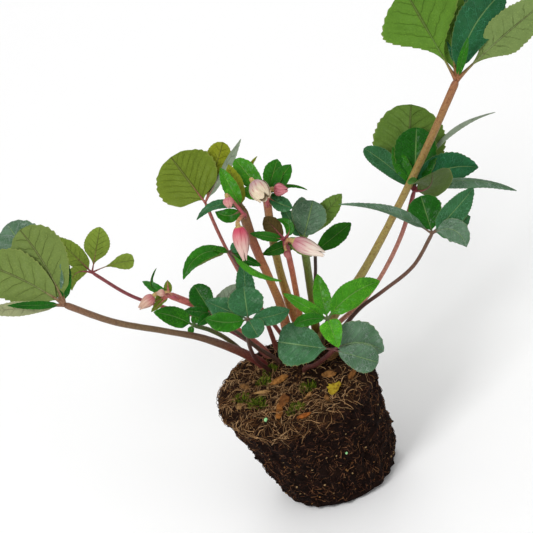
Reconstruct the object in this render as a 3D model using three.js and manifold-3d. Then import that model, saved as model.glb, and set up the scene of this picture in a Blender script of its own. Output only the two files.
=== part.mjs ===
// A young hellebore lifted from its nursery pot. It stands on the flat foot of its own root ball.
// Millimetres, +Z up, origin at the middle of the foot, front towards -Y.
import * as THREE from "three";
import { mergeVertices } from "three/addons/utils/BufferGeometryUtils.js";
import Module from "manifold-3d";

const wasm = await Module();
wasm.setup();

// Root ball: the tapered shape that a 13 cm pot leaves, a little askew from handling.
const BALL_TOP_RADIUS = 65;
const BALL_BOTTOM_RADIUS = 50;
const BALL_FOOT_RADIUS = 45;
const BALL_HEIGHT = 102;
const BALL_SKEW = 8;
const BALL_SEGMENTS = 36;
const FOOT_EDGE = 4;
const TOP_EDGE = 5;
const SIDE_RINGS = 7;
const TOP_RINGS = 4;

// Corners of a mesh that lie closer than this are one corner.
const WELD = 1e-4;

// Leaflets and bracts.
const BLADE_THICKNESS = 0.9;
const NARROWEST_HALF = 0.6;
const TOOTH_DEPTH = 0.07;
const ARCH_SHARE = 0.06;
const RIPPLE_SHARE = 0.04;
const RIPPLE_TURNS = 9;
const RIPPLE_OFFSET = 2;
const RIB_STEP = 0.01;
const STATION_LENGTH = 11.5;
const FEWEST_STATIONS = 3;
const MOST_STATIONS = 9;
const WIDE_BLADE = 38;
const WIDE_STRIPS = 4;
const PLAIN_STRIPS = 2;

// Stalks and the knobs that they end in.
const STALK_SIDES = 6;
const STALK_STEP = 16;
const FEWEST_RINGS = 7;
const STALK_DEPTH = 13;
const STRAIGHT_ABOVE_SOIL = 2;
const WAY_POINTS = [0.3, 0.5, 0.75, 1];
const SMALLEST_KNOB = 2.2;
const KNOB_SHARE = 1.25;
const HOLE_CLEARANCE = 0.8;
const HOLE_SIDES = 8;
const SEAT_GAP = 0.3;

// Pieces on the soil.
const LUMP_RISE = 0.1;
const CHIP_TILT = 0.2;
const LEAF_END_SHARE = 0.12;
const LEAF_CURL = 0.1;
const LEAF_RISE = 2;

// Buds and their own stalks.
const PETALS = 5;
const PETAL_STEP = 0.9;
const PETAL_THICKNESS = 0.9;
const SMALL_BUD = 12;
const SMALL_BUD_RINGS = 5;
const BUD_RINGS = 7;
const TWIST_RUN = 0.2;
const USUAL_BUD_WIDTH = 12;
const SLIMMEST_BUD = 0.5;
const MOUTH_OPEN = 0.3;
const HEART_END = 0.45;
const HEART_RINGS = 3;
const HEART_SIDES = 10;
const OUTER_LAYER = 0.7;
const LAYER_RUN = 0.25;
const PETAL_FOOT = 0.04;
const PETAL_OVERLAP = 1.25;
const PETAL_CUP = 0.9;
const BUD_STALK_START = 9;
const BUD_STALK_CLEARANCE = 2.3;
const BUD_STALK_SHARE = 0.14;
const THICKEST_BUD_STALK = 1.6;
const BUD_STALK_END = 3;
const BUD_STALK_RINGS = 6;
const BUD_STALK_SIDES = 5;

// Colours and how rough each kind of surface is.
const SOIL_LOOK = { color: 0x3a2c20, roughness: 0.95 };
const WITHERED_LOOK = { color: 0xc9a63c, roughness: 0.7 };
const STALK_LOOK = { color: 0x6d3b33, roughness: 0.5 };
const LEAF_LOOK = { color: 0x4c6b3a, roughness: 0.45 };
const STEM_LOOK = { color: 0x8a5a44, roughness: 0.5 };
const BRACT_LOOK = { color: 0x668a3c, roughness: 0.45 };
const PETAL_LOOK = { color: 0xd98a92, roughness: 0.5 };

// The foliage leans to the left, and is laid out square to a line of sight from the front and above.
const LEAN = THREE.MathUtils.degToRad(20);
const LOOK_DOWN = THREE.MathUtils.degToRad(35);
const NEAR = new THREE.Vector3(0, -Math.cos(LOOK_DOWN), Math.sin(LOOK_DOWN));
const RISE = new THREE.Vector3(0, Math.sin(LOOK_DOWN), Math.cos(LOOK_DOWN));
const ACROSS = new THREE.Vector3(Math.cos(LEAN), 0, 0).addScaledVector(RISE, -Math.sin(LEAN));
const UP = new THREE.Vector3(Math.sin(LEAN), 0, 0).addScaledVector(RISE, Math.cos(LEAN));
const SOIL_CENTRE = new THREE.Vector3(-BALL_SKEW, 0, BALL_HEIGHT);

// Where each leaf stands and how it is held.
//   root: x and y of its stalk, from the middle of the soil
//   hub: across, up, and how far behind the ball's middle (y)
//   radii: of the stalk at the soil, half way and at the hub
//   bow, sway: how far the stalk bends aside, to one side or to each in turn, as a share of its reach
//   back: how far the middle of the stalk lies behind the straight way
// A leaflet leaves the hub at aim degrees, counter-clockwise from across, and reaches that far.
//   wide, widest: its width, and where along it that lies (0 to 1)
//   neck: the share of its length over which it opens out from its foot
//   blunt: how full its ends are, from 0.75 for a plain leaflet down to 0.5 for a round one
//   bow: its sideways bend, as a share of its reach
//   near: how far its tip comes forward
//   turn: about its rib, in degrees: 180 shows the underside
//   fold: how far each half folds up along the rib, in degrees
const LEAVES = {
  far_left: {
    root: [-22, 34], hub: [-189, 62, -30], radii: [4.4, 2.5, 2.8],
    bow: -0.023, sway: -0.026, back: -5,
    leaflets: [
      { aim: 121, reach: 71, wide: 46, widest: 0.66, bow: -0.04, near: -16, turn: 180, blunt: 0.55 },
      { aim: 154, reach: 80, wide: 42, widest: 0.6, bow: -0.04, near: -2, turn: 180, fold: 8 },
      { aim: 126, reach: 81, wide: 46, widest: 0.62, near: -60, fold: 8, blunt: 0.55 },
      { aim: 185, reach: 68, wide: 12, widest: 0.55, near: 6, turn: 180 },
      { aim: 181, reach: 46, wide: 7, near: 12 },
      { aim: 93, reach: 42, wide: 14, near: -28 },
    ],
  },
  small_left: {
    root: [-20, 54], hub: [-168, 88, 75], radii: [2, 1.4, 1.5], bow: -0.01, sway: -0.03,
    leaflets: [
      { aim: 136, reach: 42, wide: 17, near: -4, turn: 180 },
      { aim: 80, reach: 38, wide: 21, widest: 0.62, near: 4, turn: 180, neck: 0.45, blunt: 0.7 },
      { aim: 16, reach: 36, wide: 14, widest: 0.82, bow: 0.05, turn: 180, fold: 20, neck: 0.7, blunt: 0.45 },
      { aim: 222, reach: 22, wide: 12, bow: -0.38, near: 2, turn: 180 },
    ],
  },
  low_left: {
    root: [-31, 46], hub: [-85, 45, 15], radii: [2.6, 1.9, 1.9], bow: -0.1,
    leaflets: [
      { aim: 162, reach: 34, wide: 17, widest: 0.45, bow: -0.06, near: 2, fold: 14 },
      { aim: 248, reach: 9, wide: 6, near: -3, turn: 20 },
      { aim: 72, reach: 12, wide: 7, near: 8 },
    ],
  },
  centre_left: {
    root: [-19, 22], hub: [-40, 50, -12], radii: [2.2, 1.6, 1.6], bow: 0.15,
    leaflets: [
      { aim: 157, reach: 38, wide: 20, near: -2, fold: 12 },
      { aim: 98, reach: 27, wide: 30, widest: 0.55, near: 4, fold: 12, blunt: 0.5 },
      { aim: 179, reach: 35, wide: 17, widest: 0.55, bow: 0.08, near: 4, fold: 14 },
      { aim: 300, reach: 17, wide: 20, near: 6, fold: 12, blunt: 0.5 },
      { aim: 13, reach: 35, wide: 16, widest: 0.55, bow: -0.05, fold: 16 },
      { aim: 95, reach: 49, wide: 16, near: -8, fold: 8 },
    ],
  },
  dark_left: {
    root: [-9, 30], hub: [-70, 55, 5], radii: [2, 1.4, 1.4], back: 5,
    leaflets: [
      { aim: 122, reach: 27, wide: 20, widest: 0.6, near: -5, blunt: 0.55 },
      { aim: 174, reach: 22, wide: 9 },
      { aim: 221, reach: 15, wide: 9, near: 4 },
      { aim: 46, reach: 34, wide: 14, near: -12, turn: 180 },
      { aim: 16, reach: 18, wide: 8, near: 5, turn: 180 },
    ],
  },
  arching: {
    root: [-7, 50], hub: [-55, 105, 10], radii: [2.2, 1.7, 1.7], bow: -0.035, back: 7,
    leaflets: [
      { aim: 211, reach: 44, wide: 13, bow: -0.23, near: 6, fold: 18 },
      { aim: 205, reach: 36, wide: 9, bow: -0.11, near: -4, turn: 150 },
      { aim: 167, reach: 15, wide: 6, near: 5, turn: 30 },
      { aim: 37, reach: 12, wide: 9, widest: 0.55, near: 9 },
      { aim: 331, reach: 49, wide: 9, bow: -0.07, near: 18, turn: 50, fold: 30 },
      { aim: 336, reach: 28, wide: 9, near: 4, turn: 20 },
    ],
  },
  upper_left: {
    root: [2, 56], hub: [-75, 145, 70], radii: [2.1, 1.4, 1.5], bow: 0.035,
    leaflets: [
      { aim: 127, reach: 47, wide: 54, widest: 0.55, near: 2, turn: 180, fold: 6, blunt: 0.5 },
      { aim: 74, reach: 52, wide: 21, widest: 0.74, near: -12, turn: 180, fold: 8, blunt: 0.5 },
      { aim: 61, reach: 60, wide: 13, near: -4, turn: 125 },
    ],
  },
  slender: {
    root: [20, 56], hub: [15, 105, 80], radii: [1.9, 1.4, 1.4], bow: -0.04,
    leaflets: [
      { aim: 39, reach: 38, wide: 17, widest: 0.55, near: 2, fold: 14, neck: 0.12 },
    ],
  },
  top_right: {
    root: [28, 36], hub: [130, 245, 60], radii: [4.2, 3, 3.3], bow: -0.02,
    leaflets: [
      { aim: 120, reach: 84, wide: 74, widest: 0.6, near: 6, turn: 180, fold: 8, neck: 0.75, blunt: 0.6 },
      { aim: 97, reach: 88, wide: 30, widest: 0.6, near: -14, turn: 180, fold: 8 },
      { aim: 61, reach: 86, wide: 34, widest: 0.6, bow: 0.1, near: -24, fold: 8 },
      { aim: 75, reach: 36, wide: 7, near: 12 },
      { aim: 41, reach: 108, wide: 34, bow: 0.02, near: 10, turn: 180, neck: 0.5 },
      { aim: 83, reach: 94, wide: 34, widest: 0.6, near: -50, fold: 8 },
    ],
  },
  right: {
    root: [38, 43], hub: [96, 155, 54], radii: [2.2, 1.8, 1.9], bow: -0.085, back: 3,
    leaflets: [
      { aim: 92, reach: 71, wide: 60, widest: 0.58, bow: 0.03, near: -8, turn: 180, blunt: 0.5 },
      { aim: 140, reach: 54, wide: 20, widest: 0.66, bow: -0.04, near: 2, turn: 25, blunt: 0.55 },
      { aim: 88, reach: 52, wide: 36, widest: 0.6, near: -4, fold: 8, blunt: 0.5 },
      { aim: 116, reach: 40, wide: 14, widest: 0.55 },
      { aim: 46, reach: 20, wide: 38, widest: 0.7, bow: -0.3, near: 52, turn: 209, blunt: 0.5 },
      { aim: 20, reach: 56, wide: 28, bow: 0.14, near: -4, fold: 12 },
      { aim: 0, reach: 84, wide: 14, bow: 0.1, near: 4, turn: 50, fold: 20 },
      { aim: 44, reach: 93, wide: 11, bow: 0.15, near: -18, turn: 112, fold: 5 },
    ],
  },
  lower_right: {
    root: [37, 24], hub: [110, 120, -25], radii: [2.3, 1.6, 1.6], sway: 0.045,
    leaflets: [
      { aim: 163, reach: 80, wide: 14, widest: 0.3, bow: -0.08, near: 12, turn: 55, fold: 15 },
      { aim: 107, reach: 32, wide: 28, widest: 0.65, near: -5, fold: 8, blunt: 0.5 },
      { aim: 48, reach: 50, wide: 22, bow: -0.02, turn: 20, fold: 14 },
      { aim: 24, reach: 34, wide: 22, near: -2, fold: 8 },
      { aim: 338, reach: 30, wide: 20, widest: 0.55, bow: 0.3, near: 4, fold: 8 },
    ],
  },
  front_bright: {
    root: [23, 22], hub: [25, 50, -10], radii: [2.2, 1.7, 1.7],
    leaflets: [
      { aim: 150, reach: 42, wide: 11, widest: 0.45, near: -4, fold: 16 },
      { aim: 103, reach: 38, wide: 15, widest: 0.45, bow: 0.01, near: -6, fold: 14 },
      { aim: 36, reach: 53, wide: 22, bow: 0.09, near: -4, fold: 16 },
      { aim: 291, reach: 25, wide: 19, widest: 0.32, near: 6, fold: 16, neck: 0.12 },
      { aim: 190, reach: 28, wide: 11, widest: 0.6, bow: -0.09, near: 2, fold: 12, blunt: 0.55 },
    ],
  },
  front_blue: {
    root: [9, 8], hub: [30, 25, -20], radii: [2.4, 1.9, 2], bow: -0.04,
    leaflets: [
      { aim: 172, reach: 46, wide: 36, widest: 0.72, near: -4, fold: 8, neck: 0.35, blunt: 0.4 },
      { aim: 358, reach: 41, wide: 37, widest: 0.42, bow: 0.16, near: -6, fold: 8, blunt: 0.75 },
      { aim: 344, reach: 38, wide: 24, widest: 0.68, near: 2, fold: 8, blunt: 0.5 },
    ],
  },
};

// Flower stems: bracts are leaflets round the top of the stem, and buds hang from short stalks.
//   from: where a bud's base lies from the stem's top, across, up and forward
//   open: how wide the bud's mouth is, 0 for a shut bud
const FLOWER_STEMS = {
  low: {
    root: [-16, 46], hub: [-105, 70, 10], radii: [3.6, 2.8, 3], bow: -0.06,
    leaflets: [
      { aim: 153, reach: 24, wide: 8, near: -3, fold: 15 },
      { aim: 114, reach: 24, wide: 6, bow: 0.4, near: -3, turn: 60, fold: 20 },
      { aim: 94, reach: 12, wide: 7, widest: 0.45, near: -2, turn: 180 },
      { aim: 207, reach: 13, wide: 9, near: -4, turn: 180 },
      { aim: 225, reach: 20, wide: 6, near: -4, turn: 160, fold: 15 },
    ],
    buds: {
      bud_low: { from: [-12, -1, 8], aim: 221, reach: 16, wide: 10, near: 2, open: 0 },
      bud_low_small: { from: [-3, 2, 12], aim: 190, reach: 7, wide: 6, near: 2, open: 0 },
    },
  },
  left: {
    root: [4, 40], hub: [-45, 140, 20], radii: [5, 3.3, 4.2], bow: -0.02, sway: -0.015,
    leaflets: [
      { aim: 118, reach: 38, wide: 13, near: -3, fold: 15 },
      { aim: 107, reach: 38, wide: 15, near: -11, turn: 180 },
      { aim: 194, reach: 38, wide: 9, bow: -0.2, near: 2, turn: 30, fold: 15 },
      { aim: 186, reach: 22, wide: 12, bow: 0.2, near: -3, fold: 12 },
    ],
    buds: {
      bud_small: { from: [-12, 9, 16], aim: 285, reach: 9, wide: 9, near: 2, open: 0 },
      bud_hanging: { from: [-3, -14, 11], aim: 281, reach: 29, wide: 14, open: 0 },
    },
  },
  top: {
    root: [17, 45], hub: [-25, 150, 35], radii: [5, 3.3, 3.4], bow: 0.04, back: 3,
    leaflets: [
      { aim: 130, reach: 40, wide: 18, widest: 0.62, near: -8, fold: 14, blunt: 0.55 },
      { aim: 74, reach: 32, wide: 17, widest: 0.6, near: -5, fold: 16 },
      { aim: 53, reach: 33, wide: 14, widest: 0.62, near: -4, fold: 14 },
      { aim: 9, reach: 34, wide: 7, bow: 0.2, near: -2, turn: 60, fold: 20 },
      { aim: 350, reach: 14, wide: 9, near: -4 },
      { aim: 337, reach: 23, wide: 13, widest: 0.62, bow: -0.04, near: 8, fold: 12 },
      { aim: 103, reach: 34, wide: 7, bow: 0.35, near: -16, turn: 180 },
      { aim: 166, reach: 23, wide: 11, near: 6 },
    ],
    buds: {
      bud_open: { from: [-11, 12, 21], aim: 306, reach: 19, wide: 18, near: 8, open: 0.6 },
      bud_right: { from: [6, 6, 9], aim: 356, reach: 12, wide: 11, near: 3, open: 0 },
    },
  },
  centre: {
    root: [13, 31], hub: [-10, 115, 20], radii: [3.4, 2.3, 2.6], bow: -0.02,
    leaflets: [
      { aim: 133, reach: 25, wide: 15, widest: 0.6, turn: 180, fold: 15 },
      { aim: 111, reach: 18, wide: 8, bow: -0.4, near: -2 },
      { aim: 345, reach: 15, wide: 8, near: -3 },
      { aim: 328, reach: 26, wide: 8, widest: 0.55, near: 5, turn: 180 },
      { aim: 170, reach: 29, wide: 8, near: 18 },
    ],
    buds: {
      bud_striped: { from: [6, -1, 10], aim: 337, reach: 29, wide: 14, near: 2, open: 0.15 },
      bud_centre_small: { from: [1, -9, 9], aim: 290, reach: 8, wide: 6, near: 2, open: 0 },
    },
  },
  right: {
    root: [28, 47], hub: [5, 115, 30], radii: [4, 3.2, 3.2],
    leaflets: [
      { aim: 76, reach: 33, wide: 29, widest: 0.64, near: 2, fold: 8, blunt: 0.5 },
      { aim: 50, reach: 49, wide: 17, widest: 0.6, near: -2, turn: 180 },
      { aim: 92, reach: 35, wide: 18, widest: 0.6, near: -10, fold: 8 },
      { aim: 123, reach: 33, wide: 12, near: -8 },
      { aim: 200, reach: 36, wide: 11, near: -3, fold: 8 },
    ],
    buds: {},
  },
};

// What lies on the soil and holds to it: x, y, length, width, height and turn in degrees.
const BARK_CHIPS = [
  [-13, 8, 13, 6, 5, 20],
  [-22, -34, 16, 5, 5, 75],
  [26, -10, 12, 6, 5, 150],
  [-5, -52, 11, 5, 5, 10],
  [44, -20, 10, 5, 5, 60],
  [4, -26, 10, 4, 5, 40],
];
const MOSS_TUFTS = [
  [-48, 1, 14, 12, 9, 0],
  [-37, -14, 16, 13, 10, 30],
  [-27, 12, 13, 11, 8, 60],
  [7, -16, 15, 12, 9, 10],
  [-9, -40, 17, 14, 10, 80],
  [48, 4, 12, 10, 8, 20],
];
const FALLEN_LEAF = { x: 27, y: -32, long: 17, wide: 11, turn: 55, lift: 0.9 };

// A point of the layout: seen at across and up, and lying at y = depth.
function place([across, up, depth]) {
  const point = SOIL_CENTRE.clone().addScaledVector(ACROSS, across).addScaledVector(UP, up);
  return point.addScaledVector(NEAR, (point.y - depth) / Math.cos(LOOK_DOWN));
}

// A direction of the layout, from an angle counter-clockwise from across.
function heading(degrees) {
  const angle = THREE.MathUtils.degToRad(degrees);
  return new THREE.Vector3()
    .addScaledVector(ACROSS, Math.cos(angle))
    .addScaledVector(UP, Math.sin(angle));
}

// The closed solid of a geometry, without normals, texture places or flat triangles.
function solidOf(geometry) {
  const bare = geometry.clone();
  bare.deleteAttribute("normal");
  bare.deleteAttribute("uv");
  const merged = mergeVertices(bare, WELD);
  const corners = merged.index.array;
  const kept = [];
  for (let i = 0; i < corners.length; i += 3) {
    const [a, b, c] = [corners[i], corners[i + 1], corners[i + 2]];
    if (a !== b && b !== c && a !== c) kept.push(a, b, c);
  }
  return new wasm.Manifold(
    new wasm.Mesh({
      numProp: 3,
      vertProperties: merged.attributes.position.array,
      triVerts: new Uint32Array(kept),
    }),
  );
}

function join(solids) {
  return solids.reduce((whole, next) => whole.add(next));
}

// The largest body of a solid, so that no loose scrap stays.
function wholeBody(solid) {
  const bodies = solid.decompose();
  return bodies.reduce((best, next) => (next.volume() > best.volume() ? next : best));
}

function meshOf(name, solid, look) {
  const { vertProperties, triVerts, numProp } = wholeBody(solid).getMesh();
  const positions = new Float32Array((vertProperties.length / numProp) * 3);
  for (let i = 0; i < positions.length / 3; i += 1) {
    positions.set(vertProperties.slice(i * numProp, i * numProp + 3), i * 3);
  }
  const geometry = new THREE.BufferGeometry();
  geometry.setAttribute("position", new THREE.BufferAttribute(positions, 3));
  geometry.setIndex(new THREE.BufferAttribute(new Uint32Array(triVerts), 1));
  const material = new THREE.MeshStandardMaterial({ ...look, metalness: 0, flatShading: true });
  const mesh = new THREE.Mesh(geometry, material);
  mesh.name = name;
  return mesh;
}

// A closed plate from a grid: pointAt(s, t, side) with s from 0 to 1 along it, t from -1 to 1
// across it and side 1 or -1 for its two faces. Both faces are cut into triangles alike.
function plate(stations, strips, pointAt) {
  const positions = [];
  for (const side of [1, -1]) {
    for (let i = 0; i <= stations; i += 1) {
      for (let j = 0; j <= strips; j += 1) {
        positions.push(...pointAt(i / stations, (2 * j) / strips - 1, side, i).toArray());
      }
    }
  }
  const columns = strips + 1;
  const faceSize = (stations + 1) * columns;
  const index = [];
  const quad = (a, b, c, d) => index.push(a, b, c, a, c, d);
  for (let i = 0; i < stations; i += 1) {
    for (let j = 0; j < strips; j += 1) {
      const a = i * columns + j;
      const [b, c, d] = [a + columns, a + columns + 1, a + 1];
      quad(a, b, c, d);
      index.push(faceSize + a, faceSize + c, faceSize + b, faceSize + a, faceSize + d, faceSize + c);
    }
    const [left, right] = [i * columns, i * columns + strips];
    quad(left, faceSize + left, faceSize + left + columns, left + columns);
    quad(right, right + columns, faceSize + right + columns, faceSize + right);
  }
  for (let j = 0; j < strips; j += 1) {
    const end = stations * columns + j;
    quad(j, j + 1, faceSize + j + 1, faceSize + j);
    quad(end, faceSize + end, faceSize + end + 1, end + 1);
  }
  const geometry = new THREE.BufferGeometry();
  geometry.setAttribute("position", new THREE.Float32BufferAttribute(positions, 3));
  geometry.setIndex(index);
  return solidOf(geometry);
}

// A rod through the rings of a curve, with the radius of each corner given along it.
function rod(curve, rings, sides, radiusAt) {
  const frames = curve.computeFrenetFrames(rings, false);
  const positions = [];
  for (let i = 0; i <= rings; i += 1) {
    const centre = curve.getPointAt(i / rings);
    for (let j = 0; j < sides; j += 1) {
      const angle = (2 * Math.PI * j) / sides;
      const corner = centre.clone()
        .addScaledVector(frames.normals[i], radiusAt(i / rings, j) * Math.cos(angle))
        .addScaledVector(frames.binormals[i], radiusAt(i / rings, j) * Math.sin(angle));
      positions.push(...corner.toArray());
    }
  }
  const first = positions.length / 3;
  positions.push(...curve.getPointAt(0).toArray(), ...curve.getPointAt(1).toArray());
  const index = [];
  for (let j = 0; j < sides; j += 1) {
    const next = (j + 1) % sides;
    for (let i = 0; i < rings; i += 1) {
      const [a, b] = [i * sides + j, i * sides + next];
      index.push(a, b, b + sides, a, b + sides, a + sides);
    }
    const top = rings * sides;
    index.push(first, next, j, first + 1, top + j, top + next);
  }
  const geometry = new THREE.BufferGeometry();
  geometry.setAttribute("position", new THREE.Float32BufferAttribute(positions, 3));
  geometry.setIndex(index);
  return solidOf(geometry);
}

// Half of a leaflet's width at s from its foot to its tip, as a share of the greatest.
function leafletSwell({ widest = 0.5, neck = 0.26, blunt = 0.75 }, s) {
  const power = Math.log(0.5) / Math.log(widest);
  const opening = THREE.MathUtils.smoothstep(s, 0, neck) ** 2;
  return opening * Math.max(0, Math.sin(Math.PI * s ** power)) ** blunt;
}

// One leaflet: a thin blade folded along its rib, with toothed edges that ripple a little.
function leafletSolid(leaflet, hub) {
  const { aim, reach, wide, bow = 0, near = 0, turn = 0, fold = 10 } = leaflet;
  const along = heading(aim);
  const side = heading(aim + 90);
  const turnAngle = THREE.MathUtils.degToRad(turn);
  const foldAngle = THREE.MathUtils.degToRad(fold);
  const arch = ARCH_SHARE * reach * Math.cos(turnAngle);
  const rib = (s) => hub.clone()
    .addScaledVector(along, reach * s)
    .addScaledVector(side, reach * bow * 4 * s * (1 - s))
    .addScaledVector(NEAR, near * s + arch * 4 * s * (1 - s));
  const stations = THREE.MathUtils.clamp(
    Math.round(reach / STATION_LENGTH), FEWEST_STATIONS, MOST_STATIONS,
  );
  const strips = wide >= WIDE_BLADE ? WIDE_STRIPS : PLAIN_STRIPS;
  return plate(stations, strips, (s, t, face, station) => {
    const tangent = rib(s + RIB_STEP).sub(rib(s - RIB_STEP)).normalize();
    const facing = NEAR.clone().addScaledVector(tangent, -NEAR.dot(tangent)).normalize();
    facing.applyAxisAngle(tangent, turnAngle);
    const across = facing.clone().cross(tangent);
    const swell = leafletSwell(leaflet, s);
    const tooth = 1 + (station % 2 === 0 ? -TOOTH_DEPTH : TOOTH_DEPTH);
    const half = Math.max(NARROWEST_HALF, (wide / 2) * swell * tooth) * Math.abs(t);
    const wave = Math.sin(RIPPLE_TURNS * s + RIPPLE_OFFSET * t);
    const ripple = RIPPLE_SHARE * wide * t * t * wave * swell;
    return rib(s)
      .addScaledVector(across, Math.sign(t) * half * Math.cos(foldAngle))
      .addScaledVector(facing, half * Math.sin(foldAngle) + ripple + (face * BLADE_THICKNESS) / 2);
  });
}

function knobRadius(plant) {
  return Math.max(SMALLEST_KNOB, plant.radii[2] * KNOB_SHARE);
}

function bladesSolid(plant) {
  const hub = place(plant.hub);
  const knob = new THREE.IcosahedronGeometry(knobRadius(plant), 0).translate(hub.x, hub.y, hub.z);
  return join([solidOf(knob), ...plant.leaflets.map((leaflet) => leafletSolid(leaflet, hub))]);
}

// Where a stalk enters the soil.
function rootPoint(plant) {
  return new THREE.Vector3(plant.root[0], plant.root[1], 0).add(SOIL_CENTRE);
}

// A point on a stalk's way through the air, with s from 0 at the soil to 1 at the hub.
function stalkPoint(plant, s) {
  const { hub, bow = 0, sway = 0, back = 0 } = plant;
  const root = rootPoint(plant);
  const fromSoil = root.clone().sub(SOIL_CENTRE);
  const start = new THREE.Vector2(fromSoil.dot(ACROSS), fromSoil.dot(UP));
  const way = new THREE.Vector2(hub[0], hub[1]).sub(start);
  const middle = 4 * s * (1 - s);
  const aside = bow * middle + sway * Math.sin(2 * Math.PI * s);
  return place([
    start.x + way.x * s - way.y * aside,
    start.y + way.y * s + way.x * aside,
    THREE.MathUtils.lerp(root.y, hub[2], s) + back * middle,
  ]);
}

// The stalk's path: straight up out of the soil, then on its way to just short of the hub.
function stalkCurve(plant) {
  const path = [-STALK_DEPTH, -STALK_DEPTH / 2, STRAIGHT_ABOVE_SOIL].map(
    (height) => rootPoint(plant).add(new THREE.Vector3(0, 0, height)),
  );
  for (const s of WAY_POINTS) path.push(stalkPoint(plant, s));
  const full = new THREE.CatmullRomCurve3(path, false, "centripetal");
  const end = 1 - (knobRadius(plant) + SEAT_GAP) / full.getLength();
  const steps = ringsAlong(full);
  const points = [];
  for (let i = 0; i <= steps; i += 1) points.push(full.getPointAt((i / steps) * end));
  return new THREE.CatmullRomCurve3(points);
}

function ringsAlong(curve) {
  return Math.max(FEWEST_RINGS, Math.round(curve.getLength() / STALK_STEP));
}

function stalkSolid(plant) {
  const curve = stalkCurve(plant);
  const [low, middle, high] = plant.radii;
  return rod(curve, ringsAlong(curve), STALK_SIDES, (s) => (
    s < 0.5 ? low + (middle - low) * 2 * s : middle + (high - middle) * (2 * s - 1)
  ));
}

function budFrame(plant, bud) {
  const base = place(plant.hub)
    .addScaledVector(ACROSS, bud.from[0])
    .addScaledVector(UP, bud.from[1])
    .addScaledVector(NEAR, bud.from[2]);
  const axis = heading(bud.aim).multiplyScalar(bud.reach).addScaledVector(NEAR, bud.near ?? 0);
  return { base, axis: axis.normalize() };
}

// A bud's own stalk: from a little below the stem's top, past its front, to the bud's base.
function budStalk(plant, bud, curve) {
  const { base, axis } = budFrame(plant, bud);
  const start = curve.getPointAt(1 - BUD_STALK_START / curve.getLength());
  const upwards = curve.getTangentAt(1);
  const forwards = NEAR.clone().addScaledVector(upwards, -NEAR.dot(upwards)).normalize();
  const front = place(plant.hub).addScaledVector(forwards, knobRadius(plant) + BUD_STALK_CLEARANCE);
  const end = base.clone().addScaledVector(axis, -SEAT_GAP);
  const before = end.clone().addScaledVector(axis, -BUD_STALK_END);
  const radius = Math.min(THICKEST_BUD_STALK, bud.wide * BUD_STALK_SHARE);
  const way = new THREE.CatmullRomCurve3([start, front, before, end]);
  return rod(way, BUD_STALK_RINGS, BUD_STALK_SIDES, () => radius);
}

function flowerStemSolid(plant) {
  const curve = stalkCurve(plant);
  const stalks = Object.values(plant.buds).map((bud) => budStalk(plant, bud, curve));
  return join([stalkSolid(plant), ...stalks]);
}

// A bud's radius along it, as a share of its greatest: pointed when shut, wide when open.
function budProfile(s, open) {
  const shut = 0.3 + 0.7 * Math.sin(Math.PI * Math.min(1, s * 1.06) ** 0.75) - 0.18 * s;
  const flared = 0.3 + 0.7 * Math.sin((Math.PI / 2) * Math.min(1, s * 1.6));
  return THREE.MathUtils.lerp(Math.max(0.12, shut), flared, open);
}

// A shut bud: five petals, each standing over the edge of the next, wound round the heart.
function shutBud(plant, bud) {
  const { base, axis } = budFrame(plant, bud);
  const curve = new THREE.LineCurve3(base, base.clone().addScaledVector(axis, bud.reach));
  const small = bud.reach < SMALL_BUD;
  const sidesEach = small ? 2 : 3;
  return rod(curve, small ? SMALL_BUD_RINGS : BUD_RINGS, PETALS * sidesEach, (s, side) => {
    const overlap = (side % sidesEach) / (sidesEach - 1);
    const step = PETAL_STEP * (bud.wide / USUAL_BUD_WIDTH);
    const twist = Math.min(1, s / TWIST_RUN) * step * overlap;
    return Math.max(SLIMMEST_BUD, (bud.wide / 2 - PETAL_STEP) * budProfile(s, bud.open) + twist);
  });
}

// An open bud: five cupped petals in two layers round a solid heart.
function openBud(plant, bud) {
  const { base, axis } = budFrame(plant, bud);
  const sideways = NEAR.clone().cross(axis).normalize();
  const forward = axis.clone().cross(sideways);
  const radius = bud.wide / 2;
  const at = (s, angle, distance) => base.clone()
    .addScaledVector(axis, bud.reach * s)
    .addScaledVector(sideways, distance * Math.cos(angle))
    .addScaledVector(forward, distance * Math.sin(angle));
  const heartCurve = new THREE.LineCurve3(at(0, 0, 0), at(HEART_END, 0, 0));
  const heart = rod(
    heartCurve, HEART_RINGS, HEART_SIDES, (s) => radius * budProfile(s * HEART_END, bud.open),
  );
  const petals = [];
  for (let i = 0; i < PETALS; i += 1) {
    const middle = (4 * Math.PI * i) / PETALS;
    const layer = i < PETALS / 2 ? OUTER_LAYER : 0;
    petals.push(plate(4, 2, (s, t, face) => {
      const rounded = Math.sin(Math.PI * (0.12 + 0.8 * s)) ** 0.5;
      const spread = (Math.PI / PETALS) * PETAL_OVERLAP * rounded;
      const lift = layer * Math.min(1, s / LAYER_RUN) + (face > 0 ? PETAL_THICKNESS : 0);
      const distance = radius * PETAL_CUP * budProfile(s, bud.open) + lift;
      return at(THREE.MathUtils.lerp(PETAL_FOOT, 1, s), middle - t * spread, distance);
    }));
  }
  return join([heart, ...petals]);
}

// Height of the soil's uneven top over its mean.
function soilRelief(x, y) {
  return 1.2 * Math.sin(0.19 * x + 1) * Math.cos(0.16 * y) + 0.7 * Math.sin(0.43 * x + 0.37 * y);
}

// How far the fine roots stand out of the ball's side.
function rootRelief(angle, height) {
  const cords = Math.max(0, Math.sin(11 * angle + 0.05 * height)) ** 3;
  const fibres = Math.sin(23 * angle - 0.11 * height + 2) * Math.sin(0.13 * height + 3 * angle);
  return 1.6 * cords + 1.1 * fibres + 0.8 * Math.sin(5 * angle + 0.07 * height) - 1.5;
}

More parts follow.
